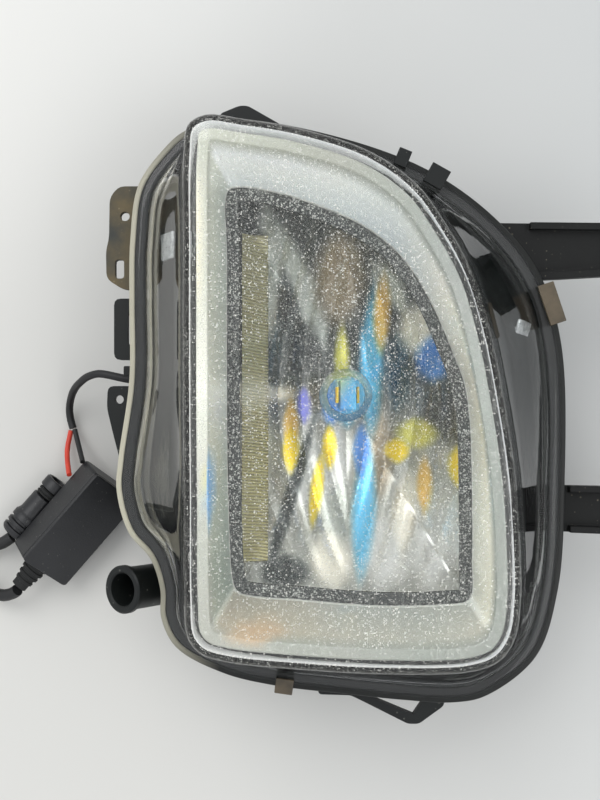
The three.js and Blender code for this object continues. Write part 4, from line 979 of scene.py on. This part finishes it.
def makeElbow(setup):
    start = Vector(setup["mouth"])
    inward = Vector((cos(radians(setup["rise"])), 0, -sin(radians(setup["rise"]))))
    x, y = setup["root"], start.y
    path = [start, start + inward * 8, start + inward * 15, Vector((x - 6, y + 1, 31)), Vector((x, y + 1.5, 26))]
    line = [Vector(p) for p in smoothRoute([tuple(p) for p in path], 8)]

    def hoop(where, way, radius):
        side = way.cross(Vector((0, 1, 0))).normalized()
        other = way.cross(side).normalized()
        turns = np.linspace(0, 2 * pi, 64, endpoint=False)
        return np.array([where + side * radius * cos(t) + other * radius * sin(t) for t in turns])

    rings = [hoop(start + inward * t, inward, setup["bore"]) for t in (setup["deep"], 6, 0.5)]
    rings += [hoop(start, inward, setup["bore"] + 0.5), hoop(start, inward, setup["lip"] - 0.5),
              hoop(start + inward * 0.5, inward, setup["lip"]),
              hoop(start + inward * (setup["lipLength"] - 0.4), inward, setup["lip"]),
              hoop(start + inward * setup["lipLength"], inward, setup["lip"] - 0.4),
              hoop(start + inward * (setup["lipLength"] + 0.1), inward, setup["outer"])]
    for i in range(4, len(line)):
        way = (line[min(i + 1, len(line) - 1)] - line[i - 1]).normalized()
        rings.append(hoop(line[i], way, setup["outer"]))
    return keep(skin(rings, True), "vent_elbow_piece", "lamp", ["housingBlack"], ["vent_elbow"], 40)


makeElbow(elbowSetup)
print("vent elbow ready")

# room: pale floor, soft light
roomSetup = {"floor": (214, 213, 208), "shadeSide": (196, 198, 197), "cloud": (224, 223, 218), "size": 1.6, "rough": 0.22,
             "world": 0.86, "sky": (0.95, 0.97, 1.0, 1),
             "lamps": [((-0.45, 0.55, 0.95), 0.7, 4.5), ((0.6, -0.3, 0.9), 0.6, 2.0)]}


def makeFloor(setup):
    bm = bmesh.new()
    bmesh.ops.create_grid(bm, x_segments=1, y_segments=1, size=setup["size"])
    mesh = bpy.data.meshes.new("floor")
    bm.to_mesh(mesh)
    bm.free()
    material, tree, surface = startMaterial("floorPaint")
    where = objectPlace(tree)
    across = put(tree, "SeparateXYZ", {"Vector": where})
    slanted = maths(tree, "SUBTRACT", across.outputs[0], maths(tree, "MULTIPLY", across.outputs[1], -0.3))
    share = between(tree, slanted, -0.12, 0.12)
    drift = use(tree, toneDrift, {"Vector": where, "Scale": 5})
    colour = mixColour(tree, share, shade(setup["floor"]), shade(setup["shadeSide"]))
    colour = mixColour(tree, maths(tree, "MULTIPLY", drift, 0.25), colour, shade(setup["cloud"]))
    shader = put(tree, "BsdfPrincipled", {"Base Color": colour, "Roughness": setup["rough"]})
    tree.links.new(shader.outputs[0], surface)
    mesh.materials.append(material)
    floor = bpy.data.objects.new("floor", mesh)
    floor.location.z = -0.0001
    bpy.context.scene.collection.objects.link(floor)


def makeLight(setup):
    world = bpy.data.worlds.new("room")
    world.use_nodes = True
    world.node_tree.nodes["Background"].inputs["Color"].default_value = setup["sky"]
    world.node_tree.nodes["Background"].inputs["Strength"].default_value = setup["world"]
    bpy.context.scene.world = world
    for number, (where, size, power) in enumerate(setup["lamps"]):
        lamp = bpy.data.lights.new(f"lamp_{number}", "AREA")
        lamp.size, lamp.energy = size, power
        holder = bpy.data.objects.new(f"lamp_{number}", lamp)
        holder.location = where
        holder.rotation_euler = (-Vector(where)).to_track_quat("-Z", "Y").to_euler()
        bpy.context.scene.collection.objects.link(holder)


makeFloor(roomSetup)
makeLight(roomSetup)
print("room ready")
